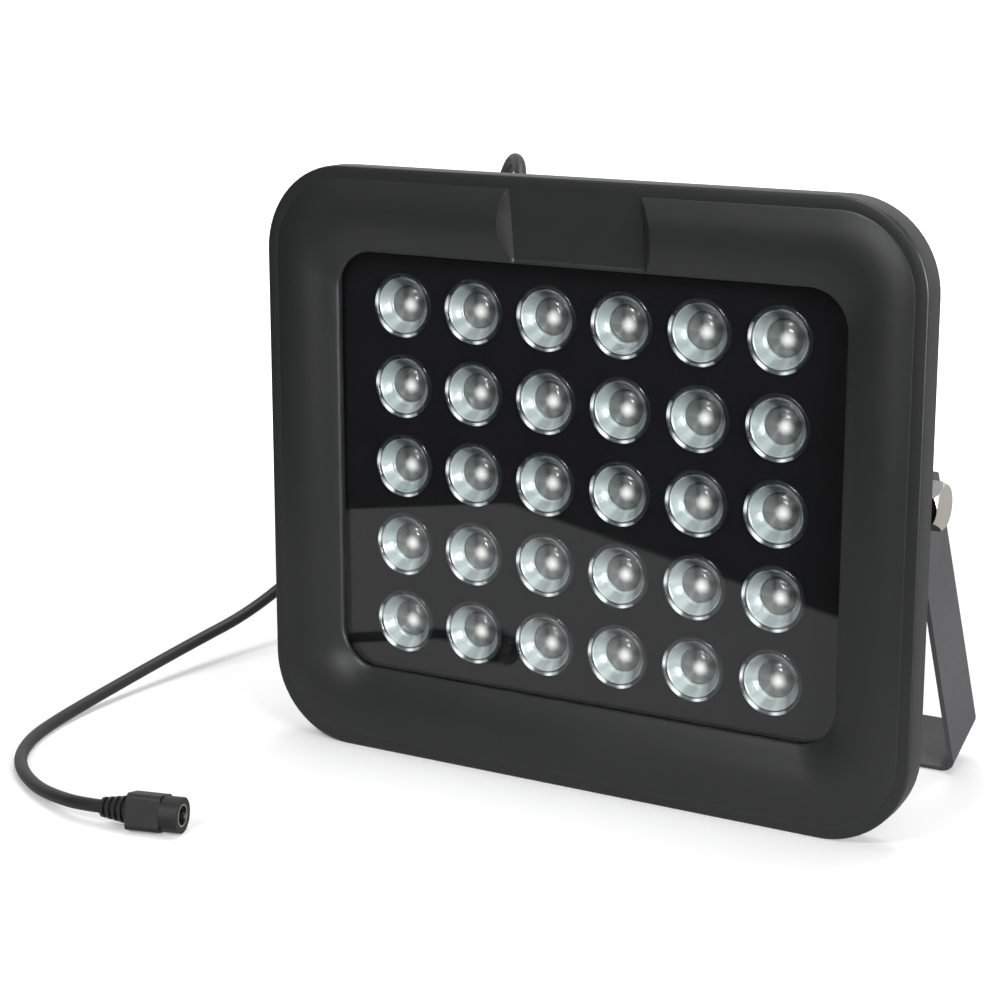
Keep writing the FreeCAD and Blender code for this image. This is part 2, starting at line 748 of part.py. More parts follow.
def inner_posts(body):
    """Posts cast in the tray and the driver box for the lens plate and the driver board."""
    feet = face_sketch(body, "PlatePosts", PLATE_BACK)
    circles(feet, plate_post_places(), "plate_post_radius")
    back_pad(body, "PlatePostPads", feet, f"tray_floor_depth + tray_floor / 2 - ({PLATE_BACK})")
    stubs = face_sketch(body, "DriverPosts", "tray_floor_depth + tray_floor / 2")
    circles(stubs, driver_post_places(), "driver_post_radius")
    back_pad(body, "DriverPostPads", stubs, "driver_post_height + tray_floor / 2")
    bosses = face_sketch(body, "CoverBosses", "tray_floor_depth + tray_floor / 2")
    circles(bosses, cover_screw_places(), "cover_boss_radius")
    back_pad(body, "CoverBossPads", bosses, "driver_box_back - tray_floor_depth - tray_floor / 2")


def drilled_holes(body):
    """Screw holes, pivot threads and the gland hole."""
    through = face_sketch(body, "FlangeHoles", FLANGE_FRONT)
    circles(through, frame_screw_places(), "frame_screw_radius + screw_hole_gap")
    pocket(body, "FlangeHolesCut", through, "flange_thickness")
    board = face_sketch(body, "BoardHoles", "tray_floor_depth")
    circles(board, board_screw_places(), "small_screw_radius + screw_hole_gap")
    pocket(body, "BoardHolesCut", board, "small_screw_bite + screw_hole_gap")
    cover = face_sketch(body, "CoverHoles", "driver_box_back - cover_screw_bite - screw_hole_gap")
    circles(cover, cover_screw_places(), "frame_screw_radius + screw_hole_gap")
    pocket(body, "CoverHolesCut", cover, "cover_screw_bite + screw_hole_gap")
    for side, name in ((-1, "Left"), (1, "Right")):
        start = "ear_face" if side > 0 else "-ear_face"
        thread = plane_sketch(body, f"Thread{name}", "YZ_Plane", start)
        circles(thread, [(size("pivot_depth"), 0.0)], "bolt_radius + pivot_clearance")
        pocket(body, f"Thread{name}Cut", thread, "bolt_bite + face_gap", reverse=side < 0)
    mouth = plane_sketch(body, "GlandHole", "XY_Plane", "driver_box_height / 2")
    circles(mouth, [(-size("gland_offset"), size("gland_depth"))],
            "gland_thread_radius + screw_hole_gap")
    pocket(body, "GlandHoleCut", mouth, "gland_thread_length")


def screw_group(name, places, head_depth, radius, head_radius, head_height, length, heads_at_back):
    """A group of equal pan-head screws, one separate solid at each place."""
    parts = []
    for number, (x, z) in enumerate(places, start=1):
        sign = -1 if heads_at_back else 1
        head_start = head_depth if heads_at_back else head_depth - size(head_height)
        head = cylinder(f"{name}_head_{number}", head_radius, head_height, housing_place(x, z, head_start))
        shank_start = head_depth if sign > 0 else head_depth - size(length)
        shank = cylinder(f"{name}_shank_{number}", radius, length, housing_place(x, z, shank_start))
        parts.append(fuse(f"{name}_{number}", [head, shank]))
    group = doc.addObject("Part::Compound", name)
    group.Links = parts
    keep(group, name)


def screws():
    """All the housing's screws."""
    screw_group("frame_screws", frame_screw_places(), size(FLANGE_BACK), "frame_screw_radius",
                "frame_screw_head_radius", "frame_screw_head_height",
                "flange_thickness + seam_gasket_thickness + frame_screw_bite", True)
    screw_group("cover_screws", cover_screw_places(), size(COVER_BACK), "frame_screw_radius",
                "frame_screw_head_radius", "frame_screw_head_height",
                "cover_thickness + cover_gasket_thickness + cover_screw_bite", True)
    screw_group("board_screws", board_screw_places(), size(BOARD_FRONT), "small_screw_radius",
                "small_screw_head_radius", "small_screw_head_height",
                "board_thickness + small_screw_bite", False)


def bracket():
    """The U bracket: a bent strap with a pivot eye at each end and three holes in its foot."""
    body = new_body("bracket", PIVOT)
    outline = plane_sketch(body, "LegOutline", "YZ_Plane")
    strap_outline(outline, foot_back, foot_drop, size("bracket_top_width / 2"),
                  size("bracket_shoulder_height"), size("bracket_end_height"))
    pad(body, "LegBlock", outline, f"2 * ({BRACKET_OUTER_FACE})", midplane=True)
    inner = size(BRACKET_INNER_FACE)
    outer = size(BRACKET_OUTER_FACE)
    sheet_bottom = -foot_drop + size("bracket_thickness")
    bend = size("bracket_bend")
    inner_bend = bend - size("bracket_thickness")
    above = size("bracket_end_height") * 2
    hollow = plane_sketch(body, "Hollow", "XZ_Plane")
    polygon_with_round_feet(hollow, inner, above, sheet_bottom, inner_bend)
    pocket(body, "HollowCut", hollow, "4 * bracket_foot_width", midplane=True)
    for side, name in ((-1, "Left"), (1, "Right")):
        corner = plane_sketch(body, f"Bend{name}", "XZ_Plane")
        bend_corner(corner, side * outer, -foot_drop, side * bend, bend)
        pocket(body, f"Bend{name}Cut", corner, "4 * bracket_foot_width", midplane=True)
    eye = plane_sketch(body, "EyeHoles", "YZ_Plane")
    circles(eye, [(0.0, 0.0)], "bolt_radius + pivot_clearance")
    pocket(body, "EyeHolesCut", eye, f"3 * ({BRACKET_OUTER_FACE})", midplane=True)
    holes = plane_sketch(body, "FootHoles", "XY_Plane")
    middle = (foot_front + foot_back) / 2
    spacing = size("foot_side_hole_spacing") / 2
    circles(holes, [(0.0, middle)], "foot_bore_radius")
    circles(holes, [(-spacing, middle), (spacing, middle)], "foot_side_hole_radius")
    pocket(body, "FootHolesCut", holes, "2 * frame_height")


def polygon_with_round_feet(sketch, half_width, top, bottom, radius):
    """An open-topped hollow with two rounded lower corners."""
    centre_level = bottom + radius
    inner = half_width - radius
    diagonal = radius * math.sqrt(0.5)
    left_arc = Part.Arc(Vector(-half_width, centre_level, 0),
                        Vector(-inner - diagonal, centre_level - diagonal, 0), Vector(-inner, bottom, 0))
    right_arc = Part.Arc(Vector(inner, bottom, 0),
                         Vector(inner + diagonal, centre_level - diagonal, 0),
                         Vector(half_width, centre_level, 0))
    outline = [Part.LineSegment(Vector(-half_width, top, 0), Vector(-half_width, centre_level, 0)),
               left_arc,
               Part.LineSegment(Vector(-inner, bottom, 0), Vector(inner, bottom, 0)),
               right_arc,
               Part.LineSegment(Vector(half_width, centre_level, 0), Vector(half_width, top, 0)),
               Part.LineSegment(Vector(half_width, top, 0), Vector(-half_width, top, 0))]
    sketch.addGeometry(outline, False)


def bend_corner(sketch, corner_x, corner_z, step_x, step_z):
    """The waste outside one rounded bend: two straight sides and the arc between them."""
    centre = Vector(corner_x - step_x, corner_z + step_z, 0)
    diagonal = math.sqrt(0.5)
    side_end = Vector(corner_x, corner_z + step_z, 0)
    foot_end = Vector(corner_x - step_x, corner_z, 0)
    middle = centre + Vector(step_x * diagonal, -step_z * diagonal, 0)
    corner = Vector(corner_x, corner_z, 0)
    outline = [Part.LineSegment(corner, side_end), Part.Arc(side_end, middle, foot_end),
               Part.LineSegment(foot_end, corner)]
    sketch.addGeometry(outline, False)


def side_place(side, start):
    """Placement on the pivot axis, the piece's own Z axis pointing outwards on that side."""
    turn = Rotation(Vector(0, 1, 0), 90 * side)
    return Placement(Vector(side * start, front_plane + size("pivot_depth"), centre_height), turn)


def pivot_hardware():
    """On each side a spring washer and a flat washer inside the bracket and a bolt through them."""
    spring_start = size("ear_face")
    washer_start = spring_start + size("spring_washer_thickness")
    head_start = size(BRACKET_OUTER_FACE + " + face_gap")
    for side, name in ((-1, "left"), (1, "right")):
        disc = cylinder(f"flat_disc_{name}", "flat_washer_radius", "flat_washer_thickness",
                        side_place(side, washer_start))
        hole = cylinder(f"flat_hole_{name}", "bolt_radius + washer_bore_gap", "flat_washer_thickness",
                        side_place(side, washer_start))
        keep(cut(f"flat_washer_{name}", disc, hole), f"flat_washer_{name}")
        spring_washer(side, name, spring_start)
        pivot_bolt(side, name, head_start)


def spring_washer(side, name, start):
    """A split ring."""
    body = new_body(f"spring_washer_{name}", side_place(side, start))
    ring = plane_sketch(body, "Ring", "XY_Plane")
    circles(ring, [(0.0, 0.0)], "spring_washer_radius")
    circles(ring, [(0.0, 0.0)], "bolt_radius + washer_bore_gap")
    pad(body, "RingPad", ring, "spring_washer_thickness")
    split = plane_sketch(body, "Split", "XY_Plane")
    half = size("spring_washer_split") / 2
    reach = size("spring_washer_radius") * 1.2
    polyline(split, [(-half, 0), (half, 0), (half, reach), (-half, reach)])
    pocket(body, "SplitCut", split, "spring_washer_thickness", reverse=True)


def pivot_bolt(side, name, start):
    """A hexagon bolt: shank inwards, chamfered head outwards."""
    body = new_body(f"pivot_bolt_{name}", side_place(side, start))
    outline = plane_sketch(body, "HeadOutline", "XY_Plane")
    hexagon(outline, "bolt_head_across_flats")
    pad(body, "Head", outline, "bolt_head_height")
    waste = plane_sketch(body, "HeadChamfer", "XZ_Plane")
    flat = size("bolt_head_across_flats") / 2
    top = size("bolt_head_height")
    fall = size("bolt_head_chamfer")
    reach = flat * 1.4
    drop = fall * (reach - flat) / (flat * 2 / math.sqrt(3) - flat)
    polyline(waste, [(flat, top), (reach, top), (reach, top - drop)])
    doc.recompute()
    groove = body.newObject("PartDesign::Groove", "HeadChamferCut")
    groove.Profile = waste
    groove.ReferenceAxis = (waste, ["V_Axis"])
    groove.Angle = 360
    shank = plane_sketch(body, "ShankOutline", "XY_Plane")
    circles(shank, [(0.0, 0.0)], "bolt_radius")
    pad(body, "Shank", shank, f"{WASHER_STACK} + 2 * face_gap + bracket_thickness + bolt_bite",
        reverse=True)


def cable_gland():
    """Gland body, dome nut and rubber seal on the top of the driver box."""
    base = Placement(Vector(-size("gland_offset"), front_plane + size("gland_depth"),
                            centre_height + size("driver_box_height / 2")), Rotation())
    bore = "cord_radius + cord_bore_gap"
    body = new_body("cable_gland", base)
    flange = plane_sketch(body, "FlangeOutline", "XY_Plane")
    hexagon(flange, "gland_flange_across_flats")
    circles(flange, [(0.0, 0.0)], bore)
    pad(body, "Flange", flange, "gland_flange_height")
    thread = plane_sketch(body, "ThreadOutline", "XY_Plane")
    circles(thread, [(0.0, 0.0)], "gland_thread_radius")
    circles(thread, [(0.0, 0.0)], bore)
    pad(body, "Thread", thread, "gland_thread_length", reverse=True)
    neck = plane_sketch(body, "NeckOutline", "XY_Plane", "gland_flange_height")
    circles(neck, [(0.0, 0.0)], "gland_neck_radius")
    circles(neck, [(0.0, 0.0)], "gland_seal_radius + screw_hole_gap")
    pad(body, "Neck", neck, "gland_neck_height")
    gland_seal(base, bore)
    gland_nut(base, bore)


def gland_seal(base, bore):
    """The rubber sleeve that grips the cord inside the neck."""
    level = size("gland_flange_height")
    body = new_body("gland_seal", base * Placement(Vector(0, 0, level), Rotation()))
    ring = plane_sketch(body, "Ring", "XY_Plane")
    circles(ring, [(0.0, 0.0)], "gland_seal_radius")
    circles(ring, [(0.0, 0.0)], bore)
    pad(body, "Sleeve", ring, "gland_seal_height")


def gland_nut(base, bore):
    """The clamping nut: hexagon skirt over the neck and a tapered nose."""
    level = size("gland_flange_height") + size("face_gap")
    body = new_body("gland_nut", base * Placement(Vector(0, 0, level), Rotation()))
    skirt = plane_sketch(body, "SkirtOutline", "XY_Plane")
    hexagon(skirt, "gland_nut_across_flats")
    pad(body, "Skirt", skirt, "gland_nut_height")
    nose = plane_sketch(body, "NoseSection", "XZ_Plane")
    foot = size("gland_nut_height")
    shoulder = size("gland_nut_across_flats") / 2 - size("face_gap")
    polyline(nose, [(0, foot - 1), (shoulder, foot - 1), (shoulder, foot),
                    (size("gland_nose_radius"), foot + size("gland_nose_height")),
                    (0, foot + size("gland_nose_height"))])
    revolve(body, "Nose", nose)
    socket = plane_sketch(body, "SocketOutline", "XY_Plane")
    circles(socket, [(0.0, 0.0)], "gland_neck_radius + screw_hole_gap")
    pocket(body, "Socket", socket, "gland_neck_height", reverse=True)
    passage = plane_sketch(body, "PassageOutline", "XY_Plane")
    circles(passage, [(0.0, 0.0)], bore)
    pocket(body, "Passage", passage, "2 * gland_nut_height", reverse=True)


def cord_route():
    """The corner points of the cord's centre line, from the gland to the jack."""
    foot = Vector(-size("gland_offset"), front_plane + size("gland_depth"),
                  centre_height + size("driver_box_height / 2"))
    rise = [foot + Vector(*step) for step in CORD_RISE]
    radius = size("cord_radius")
    lay = [Vector(x, front_plane + depth, height + radius) for x, depth, height in CORD_LAY]
    level = size("jack_head_radius + face_gap")
    run = [Vector(x, front_plane + depth, level) for x, depth in JACK_RUN]
    return rise + lay + run


def cord_path(points):
    """Straight runs joined by tangent arcs, each as large as its two runs allow."""
    edges = []
    radii = []
    start = points[0]
    for before, corner, after in zip(points, points[1:], points[2:]):
        arriving = (corner - before).normalize()
        leaving = (after - corner).normalize()
        reach = BEND_SHARE * min((corner - before).Length, (after - corner).Length)
        turn = arriving.getAngle(leaving)
        radius = reach / math.tan(turn / 2)
        arc_start = corner - arriving * reach
        arc_end = corner + leaving * reach
        inwards = (leaving - arriving).normalize()
        middle = corner + inwards * (radius / math.cos(turn / 2) - radius)
        edges.append(Part.LineSegment(start, arc_start).toShape())
        edges.append(Part.Arc(arc_start, middle, arc_end).toShape())
        radii.append(radius)
        start = arc_end
    edges.append(Part.LineSegment(start, points[-1]).toShape())
    return Part.Wire(edges), radii


def power_cord():
    """The round cord along its route."""
    points = cord_route()
    path, radii = cord_path(points)
    section = Part.Wire(Part.makeCircle(size("cord_radius"), points[0], points[1] - points[0]))
    tube = path.makePipeShell([section], True, True)
    expected = math.pi * size("cord_radius") ** 2 * path.Length
    if abs(tube.Volume / expected - 1) > 0.01:
        raise RuntimeError("the cord's tube is not its section times its length")
    print("cord length", round(path.Length, 1), "bend radii", [round(radius, 1) for radius in radii])
    item = doc.addObject("Part::Feature", "power_cord")
    item.Shape = tube
    keep(item, "power_cord")


def jack_place(along):
    """Placement on the jack's axis, the piece's own Z axis pointing to its open end."""
    before, end = cord_route()[-2:]
    heading = end - before
    turn = Rotation(Vector(0, 0, 1), heading)
    tail = end - heading.normalize() * size("jack_boot_length")
    return Placement(tail, turn) * Placement(Vector(0, 0, along), Rotation())


def jack():
    """The in-line socket: ribbed boot, moulded grip and head, contact sleeve and centre pin."""
    boot_length = size("jack_boot_length")
    body = new_body("jack_boot", jack_place(0))
    section = plane_sketch(body, "BootSection", "XZ_Plane")
    polyline(section, boot_outline(boot_length))
    revolve(body, "Boot", section)
    jack_body(boot_length)
    socket_end = boot_length + size("jack_grip_length + jack_head_length")
    sleeve_start = socket_end - size("jack_socket_depth")
    sleeve = new_body("jack_sleeve", jack_place(sleeve_start))
    ring = plane_sketch(sleeve, "Ring", "XY_Plane")
    circles(ring, [(0.0, 0.0)], "jack_sleeve_radius")
    circles(ring, [(0.0, 0.0)], "jack_sleeve_radius - jack_sleeve_wall")
    pad(sleeve, "Tube", ring, "jack_socket_depth")
    pin = cylinder("jack_pin", "jack_pin_radius", "jack_socket_depth - jack_pin_setback",
                   jack_place(sleeve_start))
    keep(pin, "jack_pin")


def boot_outline(length):
    """Half section of the boot: a taper cut by grooves between its ribs, hollow for the cord."""
    tail = size("jack_boot_tail_radius")
    head = size("jack_boot_head_radius")
    bore = size("cord_radius + cord_bore_gap")
    depth = size("jack_rib_depth")
    step = length / (2 * JACK_RIBS + 1)
    outer = []
    for number in range(2 * JACK_RIBS + 1):
        low = number * step
        lift = 0 if number % 2 == 0 else -depth
        for level in (low, low + step):
            outer.append((tail + (head - tail) * level / length + lift, level))
    return [(bore, 0)] + outer + [(bore, length)]


def jack_body(start):
    """The moulded grip with flat sides and the round head with its socket."""
    body = new_body("jack_body", jack_place(start))
    grip = plane_sketch(body, "GripOutline", "XY_Plane")
    rounded_rectangle(grip, "jack_grip_height", "jack_grip_width", "jack_grip_round")
    pad(body, "Grip", grip, "jack_grip_length")
    head = plane_sketch(body, "HeadOutline", "XY_Plane", "jack_grip_length")
    circles(head, [(0.0, 0.0)], "jack_head_radius")
    pad(body, "Head", head, "jack_head_length")
    socket = plane_sketch(body, "SocketOutline", "XY_Plane", "jack_grip_length + jack_head_length")
    circles(socket, [(0.0, 0.0)], "jack_sleeve_radius")
    pocket(body, "Socket", socket, "jack_socket_depth")


def check_document():
    """Stops if an object failed or a sub-part is empty or invalid."""
    for item in doc.Objects:
        if "Invalid" in item.State or "Error" in item.State:
            raise RuntimeError(f"{item.Label} failed: {item.State}")
    for item in nodes:
        if item.Shape.isNull() or not item.Shape.isValid():
            raise RuntimeError(f"{item.Label} has no valid shape")


def export():
    """Writes every sub-part to its own STEP file."""
    os.makedirs("parts", exist_ok=True)
    for item in nodes:
        item.Shape.exportStep(f"parts/{item.Label}.step")


front_frame()
window_gasket()
window_glass()
lens_plate()
lenses()
led_board()
emitters()
driver_board()
driver_cover()
seam_gasket()
rear_housing()
screws()
pivot_hardware()
bracket()
cable_gland()
power_cord()
jack()
doc.recompute()
check_document()
export()
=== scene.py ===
"""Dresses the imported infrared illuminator: castings, optics, bracket, cord and a pale studio."""

import logging
import math
from collections.abc import Sequence
from dataclasses import dataclass
from enum import Enum

import bpy
from mathutils import Euler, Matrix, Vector


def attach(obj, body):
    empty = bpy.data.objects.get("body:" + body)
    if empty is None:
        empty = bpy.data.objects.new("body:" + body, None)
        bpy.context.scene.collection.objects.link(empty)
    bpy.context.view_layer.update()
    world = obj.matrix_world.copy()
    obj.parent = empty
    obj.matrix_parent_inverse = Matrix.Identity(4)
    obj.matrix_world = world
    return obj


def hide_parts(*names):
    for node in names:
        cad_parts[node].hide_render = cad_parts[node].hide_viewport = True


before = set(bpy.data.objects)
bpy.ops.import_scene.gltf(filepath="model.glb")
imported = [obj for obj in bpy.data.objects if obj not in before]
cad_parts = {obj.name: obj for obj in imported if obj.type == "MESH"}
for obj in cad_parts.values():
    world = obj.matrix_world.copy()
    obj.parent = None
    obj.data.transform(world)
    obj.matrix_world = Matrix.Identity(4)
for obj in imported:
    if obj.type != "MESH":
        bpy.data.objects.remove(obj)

LOG = logging.getLogger("illuminator")
HOUSING = "housing"
FLOAT = "NodeSocketFloat"
VECTOR = "NodeSocketVector"

# Metres in a millimetre; lengths below are in millimetres where nothing else is said.
MM = 0.001
# The frame's front plane and the height of the window's centre.
FRONT_Y = -45.6661
CENTRE_Z = 92.0
LENS_PITCH = 25.0
LENS_COLUMNS = 6
LENS_ROWS = 5

Point = tuple[float, float, float]
Colour = tuple[float, float, float]
Span = tuple[float, float]
Socket = bpy.types.NodeSocket


class Slot(str, Enum):
    """Material slots of the pieces that are made here."""

    POWDER_COAT = "powder_coat"
    CLEAR_ACRYLIC = "clear_acrylic"
    CORD_JACKET = "cord_jacket"


@dataclass(frozen=True)
class Finish:
    """How a surface looks.

    Attributes:
        name: Name of the material.
        base: Linear base colour.
        roughness: Mean roughness.
        metallic: Share of metal, 0 or 1.
        spread: How far the roughness varies over the surface.
        tint: Linear colour that the base drifts towards.
        drift: Share of the tint in the most tinted spots.
        grain: Size of the grain in millimetres.
        depth: Height of the grain in millimetres.
        edge: Linear colour of worn edges.
        wear: Strength of the edge wear, 0 for none.
        coat: Weight of a clear coat.
        specular: Specular level of the Principled shader.
        painted_flank_shade: Linear colour of painted shade on surfaces that don't face along the
            pivot's axis, or None.
    """

    name: str
    base: Colour
    roughness: float
    metallic: float = 0.0
    spread: float = 0.06
    tint: Colour = (0.05, 0.05, 0.05)
    drift: float = 0.2
    grain: float = 0.5
    depth: float = 0.004
    edge: Colour = (0.12, 0.12, 0.12)
    wear: float = 0.0
    coat: float = 0.0
    specular: float = 0.5
    painted_flank_shade: Colour | None = None


POWDER = Finish("powder_coat", (0.0122, 0.0127, 0.0134), 0.38, spread=0.05,
                tint=(0.018, 0.018, 0.018), drift=0.35, grain=0.42, depth=0.012,
                edge=(0.10, 0.10, 0.10), wear=0.18)
BRACKET_COAT = Finish("bracket_coat", (0.045, 0.045, 0.05), 0.5, tint=(0.065, 0.062, 0.066),
                      drift=0.4, grain=0.3, depth=0.008, edge=(0.16, 0.16, 0.17), wear=0.35)
MASK_BLACK = Finish("mask_black", (0.003, 0.003, 0.0035), 0.75, tint=(0.005, 0.005, 0.006),
                    grain=0.8, depth=0.001, specular=0.05)
RUBBER = Finish("seal_rubber", (0.012, 0.012, 0.012), 0.6, tint=(0.02, 0.02, 0.02), grain=0.6)
NYLON = Finish("gland_nylon", (0.02, 0.02, 0.021), 0.45, tint=(0.03, 0.03, 0.03), grain=0.4)
JACKET = Finish("cord_jacket", (0.008, 0.008, 0.0085), 0.44, tint=(0.014, 0.014, 0.014), drift=0.3,
                grain=0.6, depth=0.004)
JACK_BLACK = Finish("jack_plastic", (0.006, 0.006, 0.0065), 0.5, tint=(0.012, 0.012, 0.012),
                    grain=0.5, depth=0.004)
ZINC = Finish("zinc_plate", (0.4, 0.4, 0.42), 0.5, metallic=1.0, spread=0.1,
              tint=(0.32, 0.32, 0.34), drift=0.5, grain=0.8, depth=0.002)
# Bright steel of the pivot bolts, with painted shade on the faces that don't face along the pivot's
# axis.
BRIGHT_STEEL = Finish("bright_steel", (0.9, 0.87, 0.8), 0.3, metallic=1.0, spread=0.12,
                      tint=(0.7, 0.66, 0.58), drift=0.6, grain=1.0, depth=0.004,
                      painted_flank_shade=(0.12, 0.12, 0.12))
SCREW_STEEL = Finish("screw_steel", (0.5, 0.5, 0.51), 0.32, metallic=1.0, spread=0.08,
                     tint=(0.4, 0.4, 0.4), drift=0.4, grain=0.7, depth=0.002)
NICKEL = Finish("nickel_contact", (0.66, 0.64, 0.58), 0.2, metallic=1.0, spread=0.05,
                tint=(0.5, 0.48, 0.42), drift=0.4, grain=0.6, depth=0.001)
DIE = Finish("emitter_die", (0.42, 0.41, 0.38), 0.25, tint=(0.3, 0.3, 0.28), drift=0.4, grain=0.7,
             coat=0.6)
BOARD_WHITE = Finish("board_white", (0.6, 0.61, 0.6), 0.5, tint=(0.5, 0.5, 0.5), grain=1.0)
BOARD_GREEN = Finish("board_green", (0.03, 0.13, 0.06), 0.4, tint=(0.02, 0.09, 0.04), grain=1.0)
COPPER = Finish("copper_winding", (0.6, 0.3, 0.15), 0.35, metallic=1.0, tint=(0.4, 0.2, 0.1))
SLEEVE = Finish("capacitor_sleeve", (0.02, 0.02, 0.035), 0.3, tint=(0.03, 0.03, 0.05))


@dataclass(frozen=True)
class LensFinish:
    """How a part of the lenses looks; four weights say how much light, reflection and highlight is
    painted into its colour.

    Attributes:
        name: Name of the material.
        dark: Linear colour where no light is painted.
        light: Linear colour of the painted light, reflections and highlight.
        start: Share of painted light everywhere.
        low: Share of painted light added towards the lower left of every lens, as if lit there.
        painted_streak: Share of painted reflection added in bands round the axis.
        painted_highlight: Share of a painted highlight, the bright image of the emitter.
        glow: Strength of a painted glow: the colour is also emitted as light, though the lens is no
            lamp.
        metallic: Share of metal.
        roughness: Lowest roughness.
    """

    name: str
    dark: Colour
    light: Colour
    start: float
    low: float
    painted_streak: float
    painted_highlight: float
    glow: float
    metallic: float
    roughness: float


# Painted light: each lens part mixes from its dark colour towards a light one by painted light on
# the lower left, painted reflection bands and a painted highlight, and emits the result as a
# painted glow.
LENS_BAND = LensFinish("lens_band", dark=(0.03, 0.037, 0.039), light=(0.4, 0.45, 0.45), start=0.0,
                       low=0.62, painted_streak=0.5, painted_highlight=0.0, glow=0.12, metallic=0.45, roughness=0.24)
LENS_CORE = LensFinish("lens_core", dark=(0.02, 0.024, 0.025), light=(0.9, 0.91, 0.86), start=0.0,
                       low=0.08, painted_streak=0.06, painted_highlight=0.62, glow=0.2, metallic=0.0, roughness=0.25)
LENS_RIM = LensFinish("lens_rim", dark=(0.006, 0.007, 0.008), light=(0.85, 0.9, 0.92), start=-1.05,
                      low=1.1, painted_streak=0.9, painted_highlight=0.0, glow=0.4, metallic=0.0, roughness=0.1)


class Net:
    """Makes and joins the nodes of one tree.

    Attributes:
        nodes: The tree's nodes.
        links: The tree's links.
    """

    def __init__(self, tree: bpy.types.NodeTree) -> None:
        self.nodes = tree.nodes
        self.links = tree.links

    def feed(self, sockets: Sequence[Socket], values: Sequence[Socket | float | Point]) -> None:
        """Links or sets input sockets.

        Args:
            sockets: The sockets, in their order.
            values: For each one the socket that feeds it, or its plain value.
        """
        for socket, value in zip(sockets, values):
            if isinstance(value, (int, float, tuple)):
                socket.default_value = value
            else:
                self.links.new(value, socket)

    def maths(self, operation: str, *values: Socket | float) -> Socket:
        """A math node.

        Args:
            operation: Name of the operation.
            values: Its values, sockets or numbers.

        Returns:
            The result.
        """
        node = self.nodes.new("ShaderNodeMath")
        node.operation = operation
        self.feed(node.inputs, values)
        return node.outputs[0]

    def vector_maths(self, operation: str, *values: Socket | Point) -> bpy.types.NodeOutputs:
        """A vector math node.

        Args:
            operation: Name of the operation.
            values: Its values, sockets or plain vectors.

        Returns:
            Its outputs, Vector and Value.
        """
        node = self.nodes.new("ShaderNodeVectorMath")
        node.operation = operation
        self.feed(node.inputs, values)
        return node.outputs

    def ramp(self, value: Socket, span: Span, result: Span = (0.0, 1.0),
             shape: str = "SMOOTHSTEP") -> Socket:
        """A ramp between two levels.

        Args:
            value: What is ramped.
            span: Values where the ramp starts and ends.
            result: Levels at those values.
            shape: SMOOTHSTEP or LINEAR.

        Returns:
            The ramped value.
        """
        node = self.nodes.new("ShaderNodeMapRange")
        node.interpolation_type = shape
        node.inputs["From Min"].default_value, node.inputs["From Max"].default_value = span
        node.inputs["To Min"].default_value, node.inputs["To Max"].default_value = result
        self.links.new(value, node.inputs["Value"])
        return node.outputs["Result"]

    def noise(self, place: Socket, scale: Socket | float, detail: float) -> Socket:
        """A noise texture.

        Args:
            place: Where it is looked up.
            scale: Its scale.
            detail: Its detail.

        Returns:
            The level of the noise.
        """
        node = self.nodes.new("ShaderNodeTexNoise")
        sockets = [node.inputs[name] for name in ("Vector", "Scale", "Detail")]
        self.feed(sockets, (place, scale, detail))
        return node.outputs["Fac"]

    def mix(self, share: Socket, first: Colour | Socket, second: Colour) -> Socket:
        """Mixes two colours by a mask.

        Args:
            share: Mask, 0 for the first colour.
            first: Colour, or socket that carries it.
            second: Colour.

        Returns:
            The socket that carries the mixed colour.
        """
        node = self.nodes.new("ShaderNodeMix")
        node.data_type = "RGBA"
        self.links.new(share, node.inputs["Factor"])
        if isinstance(first, tuple):
            node.inputs["A"].default_value = (*first, 1.0)
        else:
            self.links.new(first, node.inputs["A"])
        node.inputs["B"].default_value = (*second, 1.0)
        return node.outputs["Result"]

    def place(self) -> Socket:
        """Object coordinates.

        Returns:
            The socket that carries them.
        """
        return self.nodes.new("ShaderNodeTexCoord").outputs["Object"]

    def group(self, tree: bpy.types.NodeTree, place: Socket) -> bpy.types.ShaderNodeGroup:
        """A shared node group.

        Args:
            tree: The group.
            place: What feeds its Vector.

        Returns:
            The group's node.
        """
        node = self.nodes.new("ShaderNodeGroup")
        node.node_tree = tree
        self.links.new(place, node.inputs["Vector"])
        return node

    def surface(self, shader: Socket) -> None:
        """Joins a shader to a new output of the material.

        Args:
            shader: Socket that carries the shader.
        """
        self.links.new(shader, self.nodes.new("ShaderNodeOutputMaterial").inputs["Surface"])


